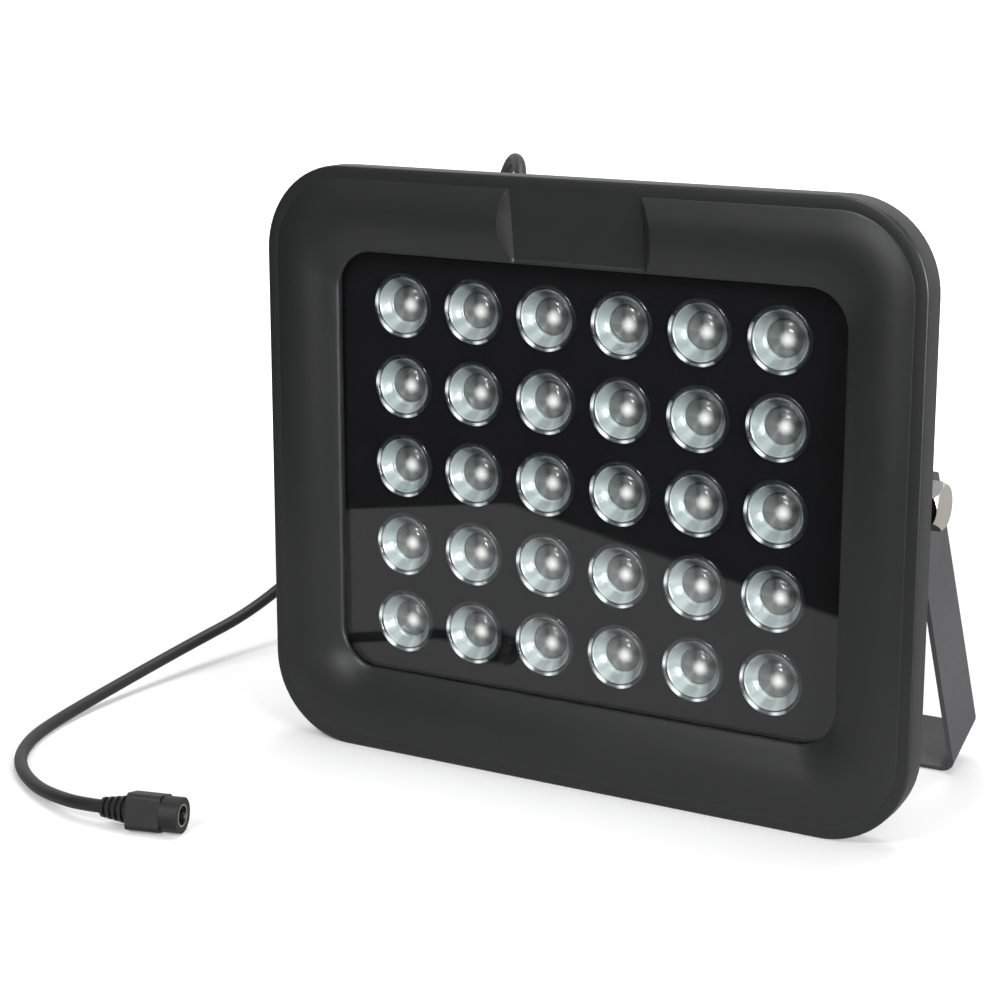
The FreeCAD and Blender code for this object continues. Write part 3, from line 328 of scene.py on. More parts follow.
class Shaders:
    """Builds the shared node groups once and one procedural material per finish."""

    SMOOTHEST = 0.02
    MIDDLE_SCALE = 7.0
    WEAR_SCALE = 320.0
    BEVEL_SAMPLES = 4
    LENS_FINENESS = 800.0
    LENS_SPREAD = 0.15
    # Painted light: the side of each lens painted lighter, and the place of its painted highlight,
    # across the axis.
    LENS_LIGHT_FROM = (-0.5, -0.86, 0.0)
    LENS_PAINTED_HIGHLIGHT_AT = (0.05, -0.004, 0.0)
    GLASS_FINENESS = 900.0
    GLASS_TINT = (0.97, 0.98, 0.98)
    GLASS_DRIFT = 0.98

    def __init__(self) -> None:
        self.grain = self._grain_group()
        self.wear = self._wear_group()
        self.field = self._painted_light_group()
        self.made: dict[str, bpy.types.Material] = {}

    @staticmethod
    def _group(name: str, inputs: Sequence[tuple[str, str, float | Point]],
               outputs: Sequence[str],
               ) -> tuple[bpy.types.NodeTree, Net, bpy.types.Node, bpy.types.Node]:
        """A new group with its sockets.

        Args:
            name: Name of the group.
            inputs: Name, socket type and default of each input.
            outputs: Name of each output, all of them numbers.

        Returns:
            The group, its net, its input node and its output node.
        """
        tree = bpy.data.node_groups.new(name, "ShaderNodeTree")
        for label, kind, default in inputs:
            socket = tree.interface.new_socket(label, in_out="INPUT", socket_type=kind)
            socket.default_value = default
        for label in outputs:
            tree.interface.new_socket(label, in_out="OUTPUT", socket_type=FLOAT)
        net = Net(tree)
        return tree, net, net.nodes.new("NodeGroupInput"), net.nodes.new("NodeGroupOutput")

    def _grain_group(self) -> bpy.types.NodeTree:
        """Fine grain with a broad drift.

        Returns:
            A group that puts out Height for a bump, Drift for a colour and Shade for roughness.
        """
        tree, net, source, target = self._group(
            "SurfaceGrain",
            [("Vector", VECTOR, (0, 0, 0)), ("Grain", FLOAT, 2000.0), ("Broad", FLOAT, 22.0)],
            ("Height", "Drift", "Shade"))
        place, scale = source.outputs["Vector"], source.outputs["Broad"]
        fine = net.noise(place, source.outputs["Grain"], 2.0)
        broad = net.noise(place, scale, 5.0)
        middle = net.noise(place, net.maths("MULTIPLY", scale, self.MIDDLE_SCALE), 3.0)
        drift = net.ramp(broad, (0.35, 0.7), shape="LINEAR")
        net.feed(target.inputs, (fine, drift, middle))
        return tree

    def _wear_group(self) -> bpy.types.NodeTree:
        """Mask of rubbed edges, from the bevelled and the true normal.

        Returns:
            A group that puts out Mask.
        """
        tree, net, source, target = self._group(
            "EdgeWear",
            [("Vector", VECTOR, (0, 0, 0)), ("Radius", FLOAT, 0.0006), ("Strength", FLOAT, 0.3)],
            ("Mask",))
        bevel = net.nodes.new("ShaderNodeBevel")
        bevel.samples = self.BEVEL_SAMPLES
        net.links.new(source.outputs["Radius"], bevel.inputs["Radius"])
        true_normal = net.nodes.new("ShaderNodeNewGeometry").outputs["Normal"]
        likeness = net.vector_maths("DOT_PRODUCT", bevel.outputs["Normal"], true_normal)["Value"]
        edge = net.ramp(likeness, (0.985, 0.85), shape="LINEAR")
        noise = net.noise(source.outputs["Vector"], self.WEAR_SCALE, 4.0)
        broken = net.maths("MULTIPLY", edge, noise)
        mask = net.maths("MULTIPLY", broken, source.outputs["Strength"])
        mask.node.use_clamp = True
        net.links.new(mask, target.inputs["Mask"])
        return tree

    def _painted_light_group(self) -> bpy.types.NodeTree:
        """Masks of painted light within one lens of the field, measured from its axis.

        Returns:
            A group that puts out three masks: painted light towards the lower left, bands of
                painted reflection round the axis, and the emitter's painted highlight.
        """
        tree, net, source, target = self._group(
            "LensPaintedLight",
            [("Vector", VECTOR, (0, 0, 0)), ("Pitch", FLOAT, LENS_PITCH * MM),
             ("Height", FLOAT, CENTRE_Z * MM)],
            ("PaintedLowLight", "PaintedStreak", "PaintedHighlight"))
        split = net.nodes.new("ShaderNodeSeparateXYZ")
        net.links.new(source.outputs["Vector"], split.inputs["Vector"])
        pitch = source.outputs["Pitch"]
        columns = net.maths("DIVIDE", split.outputs["X"], pitch)
        height = net.maths("SUBTRACT", split.outputs["Z"], source.outputs["Height"])
        rows = net.maths("ADD", net.maths("DIVIDE", height, pitch), 0.5)
        combine = net.nodes.new("ShaderNodeCombineXYZ")
        net.feed(combine.inputs, [net.maths("SUBTRACT", net.maths("FRACT", count), 0.5)
                                  for count in (columns, rows)])
        place = combine.outputs["Vector"]
        heading = net.vector_maths("NORMALIZE", place)["Vector"]
        # Painted light: lighter towards the lower left of each lens.
        lean = net.vector_maths("DOT_PRODUCT", heading, self.LENS_LIGHT_FROM)["Value"]
        # Painted highlight: a bright spot just right of the axis, the emitter's image.
        away = net.vector_maths("DISTANCE", place, self.LENS_PAINTED_HIGHLIGHT_AT)["Value"]
        # Painted reflections: bands of light round the axis.
        streaks = net.noise(heading, 1.15, 1.5)
        net.feed(target.inputs, (net.ramp(lean, (-0.3, 0.95)), net.ramp(streaks, (0.4, 0.62)),
                                 net.ramp(away, (0.125, 0.0))))
        return tree

    @staticmethod
    def new_material(name: str) -> tuple[bpy.types.Material, Net]:
        """An empty node material.

        Args:
            name: Name of the material.

        Returns:
            The material and its net.
        """
        material = bpy.data.materials.new(name)
        material.use_nodes = True
        material.node_tree.nodes.clear()
        return material, Net(material.node_tree)

    def grained(self, net: Net, place: Socket, fineness: float, shader: bpy.types.Node,
                roughness: Span) -> bpy.types.ShaderNodeGroup:
        """Lets the grain group vary a shader's roughness.

        Args:
            net: Net of the material.
            place: Object coordinates.
            fineness: Scale of the fine grain.
            shader: The Principled shader.
            roughness: Lowest and highest roughness.

        Returns:
            The group's node.
        """
        grain = net.group(self.grain, place)
        grain.inputs["Grain"].default_value = fineness
        rough = net.ramp(grain.outputs["Shade"], (0.0, 1.0), roughness, "LINEAR")
        net.links.new(rough, shader.inputs["Roughness"])
        return grain

    def lens(self, finish: LensFinish) -> bpy.types.Material:
        """The material of one part of the lenses, with light, reflections and a highlight painted
        into its colour and emitted as a painted glow.

        Args:
            finish: What it looks like.

        Returns:
            The material.
        """
        material, net = self.new_material(finish.name)
        shader = net.nodes.new("ShaderNodeBsdfPrincipled")
        net.surface(shader.outputs["BSDF"])
        place = net.place()
        field = net.group(self.field, place)
        self.grained(net, place, self.LENS_FINENESS, shader,
                     (finish.roughness, finish.roughness + self.LENS_SPREAD))
        # Painted light: the share of the light colour adds the painted light, painted reflections
        # and painted highlight.
        share: Socket | float = finish.start
        for name, weight in (("PaintedLowLight", finish.low), ("PaintedStreak", finish.painted_streak), ("PaintedHighlight", finish.painted_highlight)):
            share = net.maths("ADD", net.maths("MULTIPLY", field.outputs[name], weight), share)
        colour = net.mix(share, finish.dark, finish.light)
        net.links.new(colour, shader.inputs["Base Color"])
        # Painted glow: the painted colour is emitted too, though the lens is no lamp.
        net.links.new(colour, shader.inputs["Emission Color"])
        shader.inputs["Emission Strength"].default_value = finish.glow
        shader.inputs["Metallic"].default_value = finish.metallic
        shader.inputs["Coat Weight"].default_value = 1.0
        return material

    @staticmethod
    def paint_flank_shade(net: Net, colour: Socket, painted_flank_shade: Colour) -> Socket:
        """Paints shade on what doesn't face along the pivot's axis, by darkening its colour.

        Args:
            net: Net of the material.
            colour: Colour of the faces across the axis.
            painted_flank_shade: Linear colour of the painted shade on the rest.

        Returns:
            The socket that carries the colour.
        """
        split = net.nodes.new("ShaderNodeSeparateXYZ")
        normal = net.nodes.new("ShaderNodeNewGeometry").outputs["Normal"]
        net.links.new(normal, split.inputs["Vector"])
        along = net.maths("ABSOLUTE", split.outputs["X"])
        return net.mix(net.ramp(along, (0.75, 0.35)), colour, painted_flank_shade)

    def material(self, finish: Finish) -> bpy.types.Material:
        """The procedural material of a finish.

        Args:
            finish: What the surface looks like.

        Returns:
            The material, made on the first call.
        """
        if finish.name in self.made:
            return self.made[finish.name]
        material, net = self.new_material(finish.name)
        shader = net.nodes.new("ShaderNodeBsdfPrincipled")
        net.surface(shader.outputs["BSDF"])
        place = net.place()
        smoothest = max(self.SMOOTHEST, finish.roughness - finish.spread)
        roughest = min(1.0, finish.roughness + finish.spread)
        grain = self.grained(net, place, 1.0 / (finish.grain * MM), shader, (smoothest, roughest))
        tinted = net.maths("MULTIPLY", grain.outputs["Drift"], finish.drift)
        colour = net.mix(tinted, finish.base, finish.tint)
        if finish.wear:
            wear = net.group(self.wear, place)
            wear.inputs["Strength"].default_value = finish.wear
            colour = net.mix(wear.outputs["Mask"], colour, finish.edge)
        # Painted shade: faces across the pivot's axis are darkened.
        if finish.painted_flank_shade:
            colour = self.paint_flank_shade(net, colour, finish.painted_flank_shade)
        net.links.new(colour, shader.inputs["Base Color"])
        bump = net.nodes.new("ShaderNodeBump")
        bump.inputs["Strength"].default_value = 1.0
        bump.inputs["Distance"].default_value = finish.depth * MM
        net.links.new(grain.outputs["Height"], bump.inputs["Height"])
        net.links.new(bump.outputs["Normal"], shader.inputs["Normal"])
        shader.inputs["Metallic"].default_value = finish.metallic
        shader.inputs["Specular IOR Level"].default_value = finish.specular
        shader.inputs["Coat Weight"].default_value = finish.coat
        self.made[finish.name] = material
        return material

    def glass(self) -> bpy.types.Material:
        """The window's clear material, which lets shadow rays through.

        Returns:
            The material.
        """
        material, net = self.new_material("window_glass")
        shader = net.nodes.new("ShaderNodeBsdfPrincipled")
        shader.inputs["Transmission Weight"].default_value = 1.0
        shader.inputs["IOR"].default_value = 1.5
        grain = self.grained(net, net.place(), self.GLASS_FINENESS, shader, (0.0, 0.02))
        drifted = tuple(self.GLASS_DRIFT * level for level in self.GLASS_TINT)
        colour = net.mix(grain.outputs["Drift"], self.GLASS_TINT, drifted)
        net.links.new(colour, shader.inputs["Base Color"])
        passing = net.nodes.new("ShaderNodeBsdfTransparent")
        passing.inputs["Color"].default_value = (*self.GLASS_TINT, 1.0)
        blend = net.nodes.new("ShaderNodeMixShader")
        shadow = net.nodes.new("ShaderNodeLightPath").outputs["Is Shadow Ray"]
        net.feed(blend.inputs, (shadow, shader.outputs["BSDF"], passing.outputs["BSDF"]))
        net.surface(blend.outputs["Shader"])
        return material


def add_piece(name: str, vertices: Sequence[Point], faces: Sequence[Sequence[int]],
              material: bpy.types.Material, angle: float = 38.0) -> bpy.types.Object:
    """Makes a mesh object at the origin with its place in its vertices.

    Args:
        name: Name of the object.
        vertices: Points in millimetres, in the row frame.
        faces: Vertex numbers of every face.
        material: Its only material.
        angle: Edges sharper than this many degrees stay sharp.

    Returns:
        The linked object.
    """
    mesh = bpy.data.meshes.new(name)
    mesh.from_pydata([tuple(c * MM for c in v) for v in vertices], [], [list(f) for f in faces])
    mesh.validate()
    mesh.materials.append(material)
    mesh.shade_smooth()
    mesh.set_sharp_from_angle(angle=math.radians(angle))
    piece = bpy.data.objects.new(name, mesh)
    bpy.context.scene.collection.objects.link(piece)
    return piece


def housing_point(x: float, up: float, depth: float) -> Point:
    """A point given from the window's centre, in the row frame.

    Args:
        x: Millimetres to the right.
        up: Millimetres above the centre.
        depth: Millimetres behind the front plane.

    Returns:
        The point in millimetres.
    """
    return (x, FRONT_Y + depth, CENTRE_Z + up)


class Casting:
    """The front frame as one smooth mesh: rim, swelling face, label recess, lip and rebate."""

    # Half width, half height and corner radius of three outlines.
    OUTER = (108.0, 92.0, 27.0)
    CREST = (104.1, 88.1, 23.1)
    LIP = (84.0, 66.0, 12.0)
    LIP_DEPTH = 3.2
    LIP_ROUND = ((0.12, 3.22), (0.03, 3.32), (0.0, 3.5), (0.0, 4.2))
    REBATE = 3.0
    REBATE_DEPTH = 4.2
    BACK_DEPTH = 6.3
    RIM_ROUND = 0.9
    RIM_STEPS = 5
    RIM_FLAT = ((2.2, 0.0), (3.6, 0.0), (3.85, 0.04))
    CORNER_STEPS = 16
    SHARES = (0.0, 0.02, 0.05, 0.09, *(0.14 + 0.06 * n for n in range(14)), 0.94, 0.96, 0.985)
    SAG = 2.4
    SHARP_ANGLE = 28.0
    BADGE_HALF = 21.5
    BADGE_FALL = 0.4
    END_SLOPE = 0.85
    INNER_COLUMNS = (0.0, 6.0, 12.0, 17.0, 20.0, 21.3)
    OUTER_COLUMNS = (27.0, 32.0, 42.0, 54.0, 64.0)

    def __init__(self, shaders: Shaders) -> None:
        self.shaders = shaders
        fall = self.LIP_DEPTH
        self.run = self.CREST[0] - self.LIP[0]
        chord = math.hypot(self.run, fall)
        self.radius = (chord ** 2 / 4 + self.SAG ** 2) / (2 * self.SAG)
        rise = self.radius - self.SAG
        self.centre = (self.run / 2 - rise * fall / chord, fall / 2 + rise * self.run / chord)

    def swell(self, share: float) -> float:
        """Depth of the swelling face.

        Args:
            share: 0 at the crest, 1 at the lip.

        Returns:
            Millimetres behind the front plane.
        """
        offset = share * self.run - self.centre[0]
        return self.centre[1] - math.sqrt(self.radius ** 2 - offset ** 2)

    def stations(self) -> list[tuple[float, float, float, float, float | None]]:
        """Closed section of the frame.

        Returns:
            Half width, half height, corner radius, depth and, on the swelling face, the share of
            the way from crest to lip.
        """
        wide, tall, corner = self.OUTER
        rows: list[tuple[float, float, float, float, float | None]] = [
            (wide, tall, corner, self.BACK_DEPTH, None)]
        for step in range(self.RIM_STEPS + 1):
            angle = math.radians(90 * step / self.RIM_STEPS)
            inwards = self.RIM_ROUND * (1 - math.cos(angle))
            rows.append((wide - inwards, tall - inwards, corner - inwards,
                         self.RIM_ROUND * (1 - math.sin(angle)), None))
        for inset, depth in self.RIM_FLAT:
            rows.append((wide - inset, tall - inset, corner - inset, depth, None))
        for share in self.SHARES:
            half = [c + share * (d - c) for c, d in zip(self.CREST, self.LIP)]
            rows.append((*half, self.swell(share), share))
        wide, tall, corner = self.LIP
        for inset, depth in (*self.LIP_ROUND, (self.REBATE, self.REBATE_DEPTH),
                             (self.REBATE, self.BACK_DEPTH)):
            rows.append((wide + inset, tall + inset, corner + inset, depth, None))
        return rows

    def outline(self, wide: float, tall: float, corner: float,
                reach: float) -> list[tuple[float, float, bool]]:
        """One closed ring of the section.

        Args:
            wide: Half width.
            tall: Half height.
            corner: Corner radius.
            reach: How far the label recess's sloping end reaches past its flat floor.

        Returns:
            Points clockwise from the top centre: x, up, and whether the point is on the top side.
        """
        straight = wide - corner
        last = self.OUTER_COLUMNS[-1]
        ends = [self.BADGE_HALF + extra for extra in
                (0.0, 0.1 + 0.33 * reach, 0.2 + 0.66 * reach, 0.3 + reach, 0.5 + reach)]
        columns = [*self.INNER_COLUMNS, *ends, *self.OUTER_COLUMNS, last * 0.35 + straight * 0.65]
        points = [(x, tall, True) for x in columns]
        centres = ((straight, tall - corner), (straight, corner - tall), (-straight, corner - tall),
                   (-straight, tall - corner))
        for number, (cx, cz) in enumerate(centres):
            for step in range(self.CORNER_STEPS + 1):
                angle = math.radians(90 - 90 * number - 90 * step / self.CORNER_STEPS)
                points.append((cx + corner * math.cos(angle), cz + corner * math.sin(angle), False))
        points += [(-x, tall, True) for x in reversed(columns[1:])]
        return points

    def badge_floor(self, share: float) -> float:
        """Depth of the label recess's flat floor.

        Args:
            share: 0 at the crest, 1 at the lip.

        Returns:
            Millimetres behind the front plane.
        """
        fade = min(1.0, share / 0.3) * min(1.0, max(0.0, (0.97 - share) / 0.03))
        return share * self.LIP_DEPTH + self.BADGE_FALL * fade

    def badge_depth(self, x: float, share: float, depth: float) -> float:
        """Depth of the face where the label recess cuts into the swelling.

        Args:
            x: Millimetres from the middle of the top side.
            share: 0 at the crest, 1 at the lip.
            depth: Depth of the swelling face there.

        Returns:
            Millimetres behind the front plane.
        """
        end = self.badge_floor(share) - self.END_SLOPE * max(0.0, abs(x) - self.BADGE_HALF)
        return max(depth, end)

    def build(self) -> bpy.types.Object:
        """Makes the mesh.

        Returns:
            The object.
        """
        vertices: list[Point] = []
        faces: list[tuple[int, ...]] = []
        rows = self.stations()
        for wide, tall, corner, depth, share in rows:
            reach = 0.0
            if share is not None:
                reach = max(0.0, self.badge_floor(share) - depth) / self.END_SLOPE
            for x, up, on_top in self.outline(wide, tall, corner, reach):
                level = self.badge_depth(x, share, depth) if on_top and share is not None else depth
                vertices.append(housing_point(x, up, level))
        count = len(vertices) // len(rows)
        for row in range(len(rows)):
            for column in range(count):
                following = (column + 1) % count
                low, high = row * count, ((row + 1) % len(rows)) * count
                faces.append((low + column, low + following, high + following, high + column))
        coat = self.shaders.material(POWDER)
        piece = add_piece("front_casting", vertices, faces, coat, self.SHARP_ANGLE)
        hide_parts("front_frame")
        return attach(piece, HOUSING)


def revolved(profile: Sequence[Span],
             segments: int) -> tuple[list[Point], list[tuple[int, ...]]]:
    """Turns a closed profile about the lens axis.

    Args:
        profile: Radius and depth of each point in millimetres; a radius of 0 makes a pole.
        segments: Steps round the circle.

    Returns:
        Vertices, with the depth along +Y, and faces.
    """
    vertices: list[Point] = []
    rings: list[list[int]] = []
    for radius, depth in profile:
        if radius == 0:
            rings.append([len(vertices)])
            vertices.append((0.0, depth, 0.0))
            continue
        start = len(vertices)
        for step in range(segments):
            angle = 2 * math.pi * step / segments
            vertices.append((radius * math.cos(angle), depth, radius * math.sin(angle)))
        rings.append(list(range(start, start + segments)))
    faces: list[tuple[int, ...]] = []
    for first, second in zip(rings, rings[1:] + rings[:1]):
        for step in range(segments):
            following = (step + 1) % segments
            corners = [first[step % len(first)], first[following % len(first)],
                       second[following % len(second)], second[step % len(second)]]
            unique = tuple(dict.fromkeys(corners))
            if len(unique) > 2:
                faces.append(unique)
    return vertices, faces


class Repeater:
    """A Geometry Nodes tree that sets one part on a regular field and makes it real."""

    INPUTS = (("Part", "NodeSocketObject"), ("Columns", "NodeSocketInt"), ("Rows", "NodeSocketInt"),
              ("Pitch", FLOAT), ("Depth", FLOAT), ("Height", FLOAT), ("Twist", FLOAT),
              ("Seed", "NodeSocketInt"), ("Finish", "NodeSocketMaterial"))

    def __init__(self) -> None:
        self.tree = self._build()

    def _build(self) -> bpy.types.NodeTree:
        """Makes the tree.

        Returns:
            The geometry node group.
        """
        tree = bpy.data.node_groups.new("RepeatOnField", "GeometryNodeTree")
        tree.interface.new_socket("Geometry", in_out="INPUT", socket_type="NodeSocketGeometry")
        for name, kind in self.INPUTS:
            tree.interface.new_socket(name, in_out="INPUT", socket_type=kind)
        tree.interface.new_socket("Geometry", in_out="OUTPUT", socket_type="NodeSocketGeometry")
        net = Net(tree)
        nodes, links = tree.nodes, tree.links
        source, target = nodes.new("NodeGroupInput"), nodes.new("NodeGroupOutput")
        grid = nodes.new("GeometryNodeMeshGrid")
        for axis, name in (("X", "Columns"), ("Y", "Rows")):
            gaps = net.maths("SUBTRACT", source.outputs[name], 1.0)
            span = net.maths("MULTIPLY", gaps, source.outputs["Pitch"])
            links.new(span, grid.inputs[f"Size {axis}"])
            links.new(source.outputs[name], grid.inputs[f"Vertices {axis}"])
        stand = nodes.new("GeometryNodeTransform")
        stand.inputs["Rotation"].default_value = Euler((math.pi / 2, 0, 0))
        links.new(grid.outputs["Mesh"], stand.inputs["Geometry"])
        place = nodes.new("ShaderNodeCombineXYZ")
        links.new(source.outputs["Depth"], place.inputs["Y"])
        links.new(source.outputs["Height"], place.inputs["Z"])
        links.new(place.outputs["Vector"], stand.inputs["Translation"])
        info = nodes.new("GeometryNodeObjectInfo")
        links.new(source.outputs["Part"], info.inputs["Object"])
        spin = nodes.new("FunctionNodeRandomValue")
        spin.data_type = "FLOAT"
        links.new(source.outputs["Twist"], spin.inputs["Max"])
        links.new(source.outputs["Seed"], spin.inputs["Seed"])
        turn = nodes.new("ShaderNodeCombineXYZ")
        links.new(spin.outputs["Value"], turn.inputs["Y"])
        scatter = nodes.new("GeometryNodeInstanceOnPoints")
        links.new(stand.outputs["Geometry"], scatter.inputs["Points"])
        links.new(info.outputs["Geometry"], scatter.inputs["Instance"])
        links.new(turn.outputs["Vector"], scatter.inputs["Rotation"])
        real = nodes.new("GeometryNodeRealizeInstances")
        links.new(scatter.outputs["Instances"], real.inputs["Geometry"])
        finish = nodes.new("GeometryNodeSetMaterial")
        links.new(real.outputs["Geometry"], finish.inputs["Geometry"])
        links.new(source.outputs["Finish"], finish.inputs["Material"])
        links.new(finish.outputs["Geometry"], target.inputs["Geometry"])
        return tree

    def repeat(self, name: str, part: bpy.types.Object, material: bpy.types.Material,
               twist: float, seed: int) -> bpy.types.Object:
        """Makes one piece of a copy in every place of the field.

        Args:
            name: Name of the piece.
            part: The pattern, which is removed afterwards.
            material: Material of the piece.
            twist: Largest random turn about the lens axis, in radians.
            seed: Seed of the random turns.

        Returns:
            The plain mesh object.
        """
        carrier = bpy.data.objects.new(f"{name}_carrier", bpy.data.meshes.new(f"{name}_carrier"))
        bpy.context.scene.collection.objects.link(carrier)
        modifier = carrier.modifiers.new("Repeat", "NODES")
        modifier.node_group = self.tree
        values = {"Part": part, "Columns": LENS_COLUMNS, "Rows": LENS_ROWS,
                  "Pitch": LENS_PITCH * MM, "Depth": FRONT_Y * MM, "Height": CENTRE_Z * MM,
                  "Twist": twist, "Seed": seed, "Finish": material}
        for item in self.tree.interface.items_tree:
            if item.item_type == "SOCKET" and item.in_out == "INPUT" and item.name in values:
                modifier[item.identifier] = values[item.name]
        graph = bpy.context.evaluated_depsgraph_get()
        mesh = bpy.data.meshes.new_from_object(carrier.evaluated_get(graph))
        mesh.name = name
        piece = bpy.data.objects.new(name, mesh)
        bpy.context.scene.collection.objects.link(piece)
        bpy.data.objects.remove(carrier)
        bpy.data.objects.remove(part)
        return piece


class Optics:
    """The rims, bowls and cores of the lens field, as closed profiles of radius and depth."""

    SEGMENTS = 40
    SHARP_ANGLE = 30.0
    TWIST = 6.28
    FIRST_SEED = 11
    RIM = ((9.0, 7.9), (9.0, 7.45), (9.2, 7.15), (9.6, 7.1), (9.85, 7.2), (10.0, 7.5), (10.0, 8.1),
           (9.85, 8.25), (9.1, 8.28))
    DISH = ((8.7, 8.0), (8.68, 7.65), (8.55, 7.48), (8.35, 7.48), (8.2, 7.62), (7.95, 8.05),
            (7.55, 8.7), (7.1, 9.4), (6.6, 10.1), (6.2, 10.6), (5.9, 10.75), (5.7, 11.0),
            (5.55, 11.4), (5.55, 12.6), (6.0, 12.6), (8.4, 9.0))
    CORE = ((5.5, 11.5), (5.1, 11.05), (4.3, 10.6), (3.2, 10.3), (1.8, 10.12), (0.8, 10.06),
            (0.0, 10.05), (0.0, 12.6), (5.5, 12.6))

    def __init__(self, shaders: Shaders) -> None:
        self.shaders = shaders
        self.repeater = Repeater()

    def build(self) -> None:
        """Makes the lenses."""
        layers: list[tuple[str, Sequence[Span], LensFinish]] = [
            ("lens_rims", self.RIM, LENS_RIM),
            ("lens_dishes", self.DISH, LENS_BAND),
            ("lens_cores", self.CORE, LENS_CORE),
        ]
        for number, (name, profile, finish) in enumerate(layers):
            material = self.shaders.lens(finish)
            vertices, faces = revolved(profile, self.SEGMENTS)
            part = add_piece(f"{name}_pattern", vertices, faces, material, self.SHARP_ANGLE)
            piece = self.repeater.repeat(name, part, material, self.TWIST, self.FIRST_SEED + number)
            if name == "lens_dishes":
                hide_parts(*(f"lens_row_{row}" for row in range(1, LENS_ROWS + 1)))
            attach(piece, HOUSING)


class Cord:
    """The power cord as a curve through the corner points of the CAD tube, in metres."""

    LENGTH = 0.4833
    THICKNESS = 0.004
    ON_CORD = ("jack_boot", "jack_body", "jack_sleeve", "jack_pin")
    POINTS = (
        (-0.04350, -0.00027, 0.15120),
        (-0.04350, -0.00027, 0.16420),
        (-0.04680, 0.00533, 0.17540),
        (-0.05280, 0.01503, 0.18190),
        (-0.06180, 0.02573, 0.18140),
        (-0.07140, 0.03553, 0.17120),
        (-0.08200, 0.04493, 0.15150),
        (-0.09450, 0.05413, 0.12600),
        (-0.11100, 0.06233, 0.09800),
        (-0.12950, 0.06533, 0.07050),
        (-0.14650, 0.05833, 0.04600),
        (-0.15800, 0.04083, 0.02750),
        (-0.16550, 0.01733, 0.01550),
        (-0.17050, -0.00867, 0.01050),
        (-0.17300, -0.03467, 0.00650),
        (-0.17400, -0.05867, 0.00340),
        (-0.17230, -0.07917, 0.00210),
        (-0.16780, -0.09667, 0.00210),
        (-0.15980, -0.11167, 0.00210),
        (-0.14950, -0.12227, 0.00210),
        (-0.13650, -0.13107, 0.00240),
        (-0.12280, -0.13767, 0.00380),
        (-0.10805, -0.14202, 0.00540),
        (-0.09350, -0.13837, 0.00540),
    )

    def __init__(self, shaders: Shaders) -> None:
        self.shaders = shaders

    def build(self) -> None:
        data = bpy.data.curves.new("cord", "CURVE")
        data.dimensions = "3D"
        spline = data.splines.new("NURBS")
        spline.points.add(len(self.POINTS) - 1)
        for point, place in zip(spline.points, self.POINTS):
            point.co = (*place, 1.0)
        spline.use_endpoint_u = True
        spline.order_u = 3
        spline.resolution_u = 16
        data.bevel_depth = self.THICKNESS / 2
        data.bevel_resolution = 8
        data.use_fill_caps = True
        data.materials.append(self.shaders.material(JACKET))
        cord = bpy.data.objects.new("cord", data)
        bpy.context.scene.collection.objects.link(cord)
        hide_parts("power_cord")
        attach(cord, HOUSING)


class CadFinishes:
    """Materials and softened edges of the CAD nodes that stay in view."""

    NODES: dict[str, Finish] = {
        "front_frame": POWDER, "rear_housing": POWDER, "driver_cover": POWDER,
        "window_gasket": RUBBER, "seam_gasket": RUBBER, "cover_gasket": RUBBER,
        "gland_seal": RUBBER,
        "lens_plate": MASK_BLACK, "led_board": BOARD_WHITE, "emitters": DIE,
        "driver_board": BOARD_GREEN, "choke_coil": COPPER, "capacitor": SLEEVE,
        "frame_screws": SCREW_STEEL, "cover_screws": SCREW_STEEL, "board_screws": SCREW_STEEL,
        "flat_washer_left": ZINC, "flat_washer_right": ZINC, "spring_washer_left": ZINC,
        "spring_washer_right": ZINC, "pivot_bolt_left": BRIGHT_STEEL,
        "pivot_bolt_right": BRIGHT_STEEL, "bracket": BRACKET_COAT, "cable_gland": NYLON,
        "gland_nut": NYLON, "power_cord": JACKET, "jack_boot": JACKET, "jack_body": JACK_BLACK,
        "jack_sleeve": NICKEL, "jack_pin": NICKEL,
    }
    SHARP_ANGLE = 32.0
    BEVEL_ANGLE = 40.0
    BEVELS = {"bracket": 0.35, "pivot_bolt_right": 0.25, "pivot_bolt_left": 0.25, "jack_body": 0.3,
              "gland_nut": 0.3, "cable_gland": 0.3, "driver_cover": 0.4}

    def __init__(self, shaders: Shaders) -> None:
        self.shaders = shaders

    def build(self) -> None:
        """Gives every CAD node its material and shading."""
        glass = self.shaders.glass()
        # The lens band's material, with its painted light and painted glow, goes to every CAD node
        # not listed.
        band = self.shaders.lens(LENS_BAND)
        for name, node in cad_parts.items():
            finish = self.NODES.get(name)
            if name == "window_glass":
                material = glass
            elif finish is None:
                material = band
            else:
                material = self.shaders.material(finish)
            node.data.materials.clear()
            node.data.materials.append(material)
            node.data.shade_smooth()
            node.data.set_sharp_from_angle(angle=math.radians(self.SHARP_ANGLE))
            if name in self.BEVELS:
                bevel = node.modifiers.new("SoftEdges", "BEVEL")
                bevel.width = self.BEVELS[name] * MM
                bevel.segments = 2
                bevel.limit_method = "ANGLE"
                bevel.angle_limit = math.radians(self.BEVEL_ANGLE)


@dataclass(frozen=True)
class Lamp:
    """A soft square light.

    Attributes:
        name: Name of the light.
        place: Where it is, in metres.
        target: What it points at, in metres.
        size: Side of the square in metres.
        power: Watts.
    """

    name: str
    place: Point
    target: Point
    size: float
    power: float


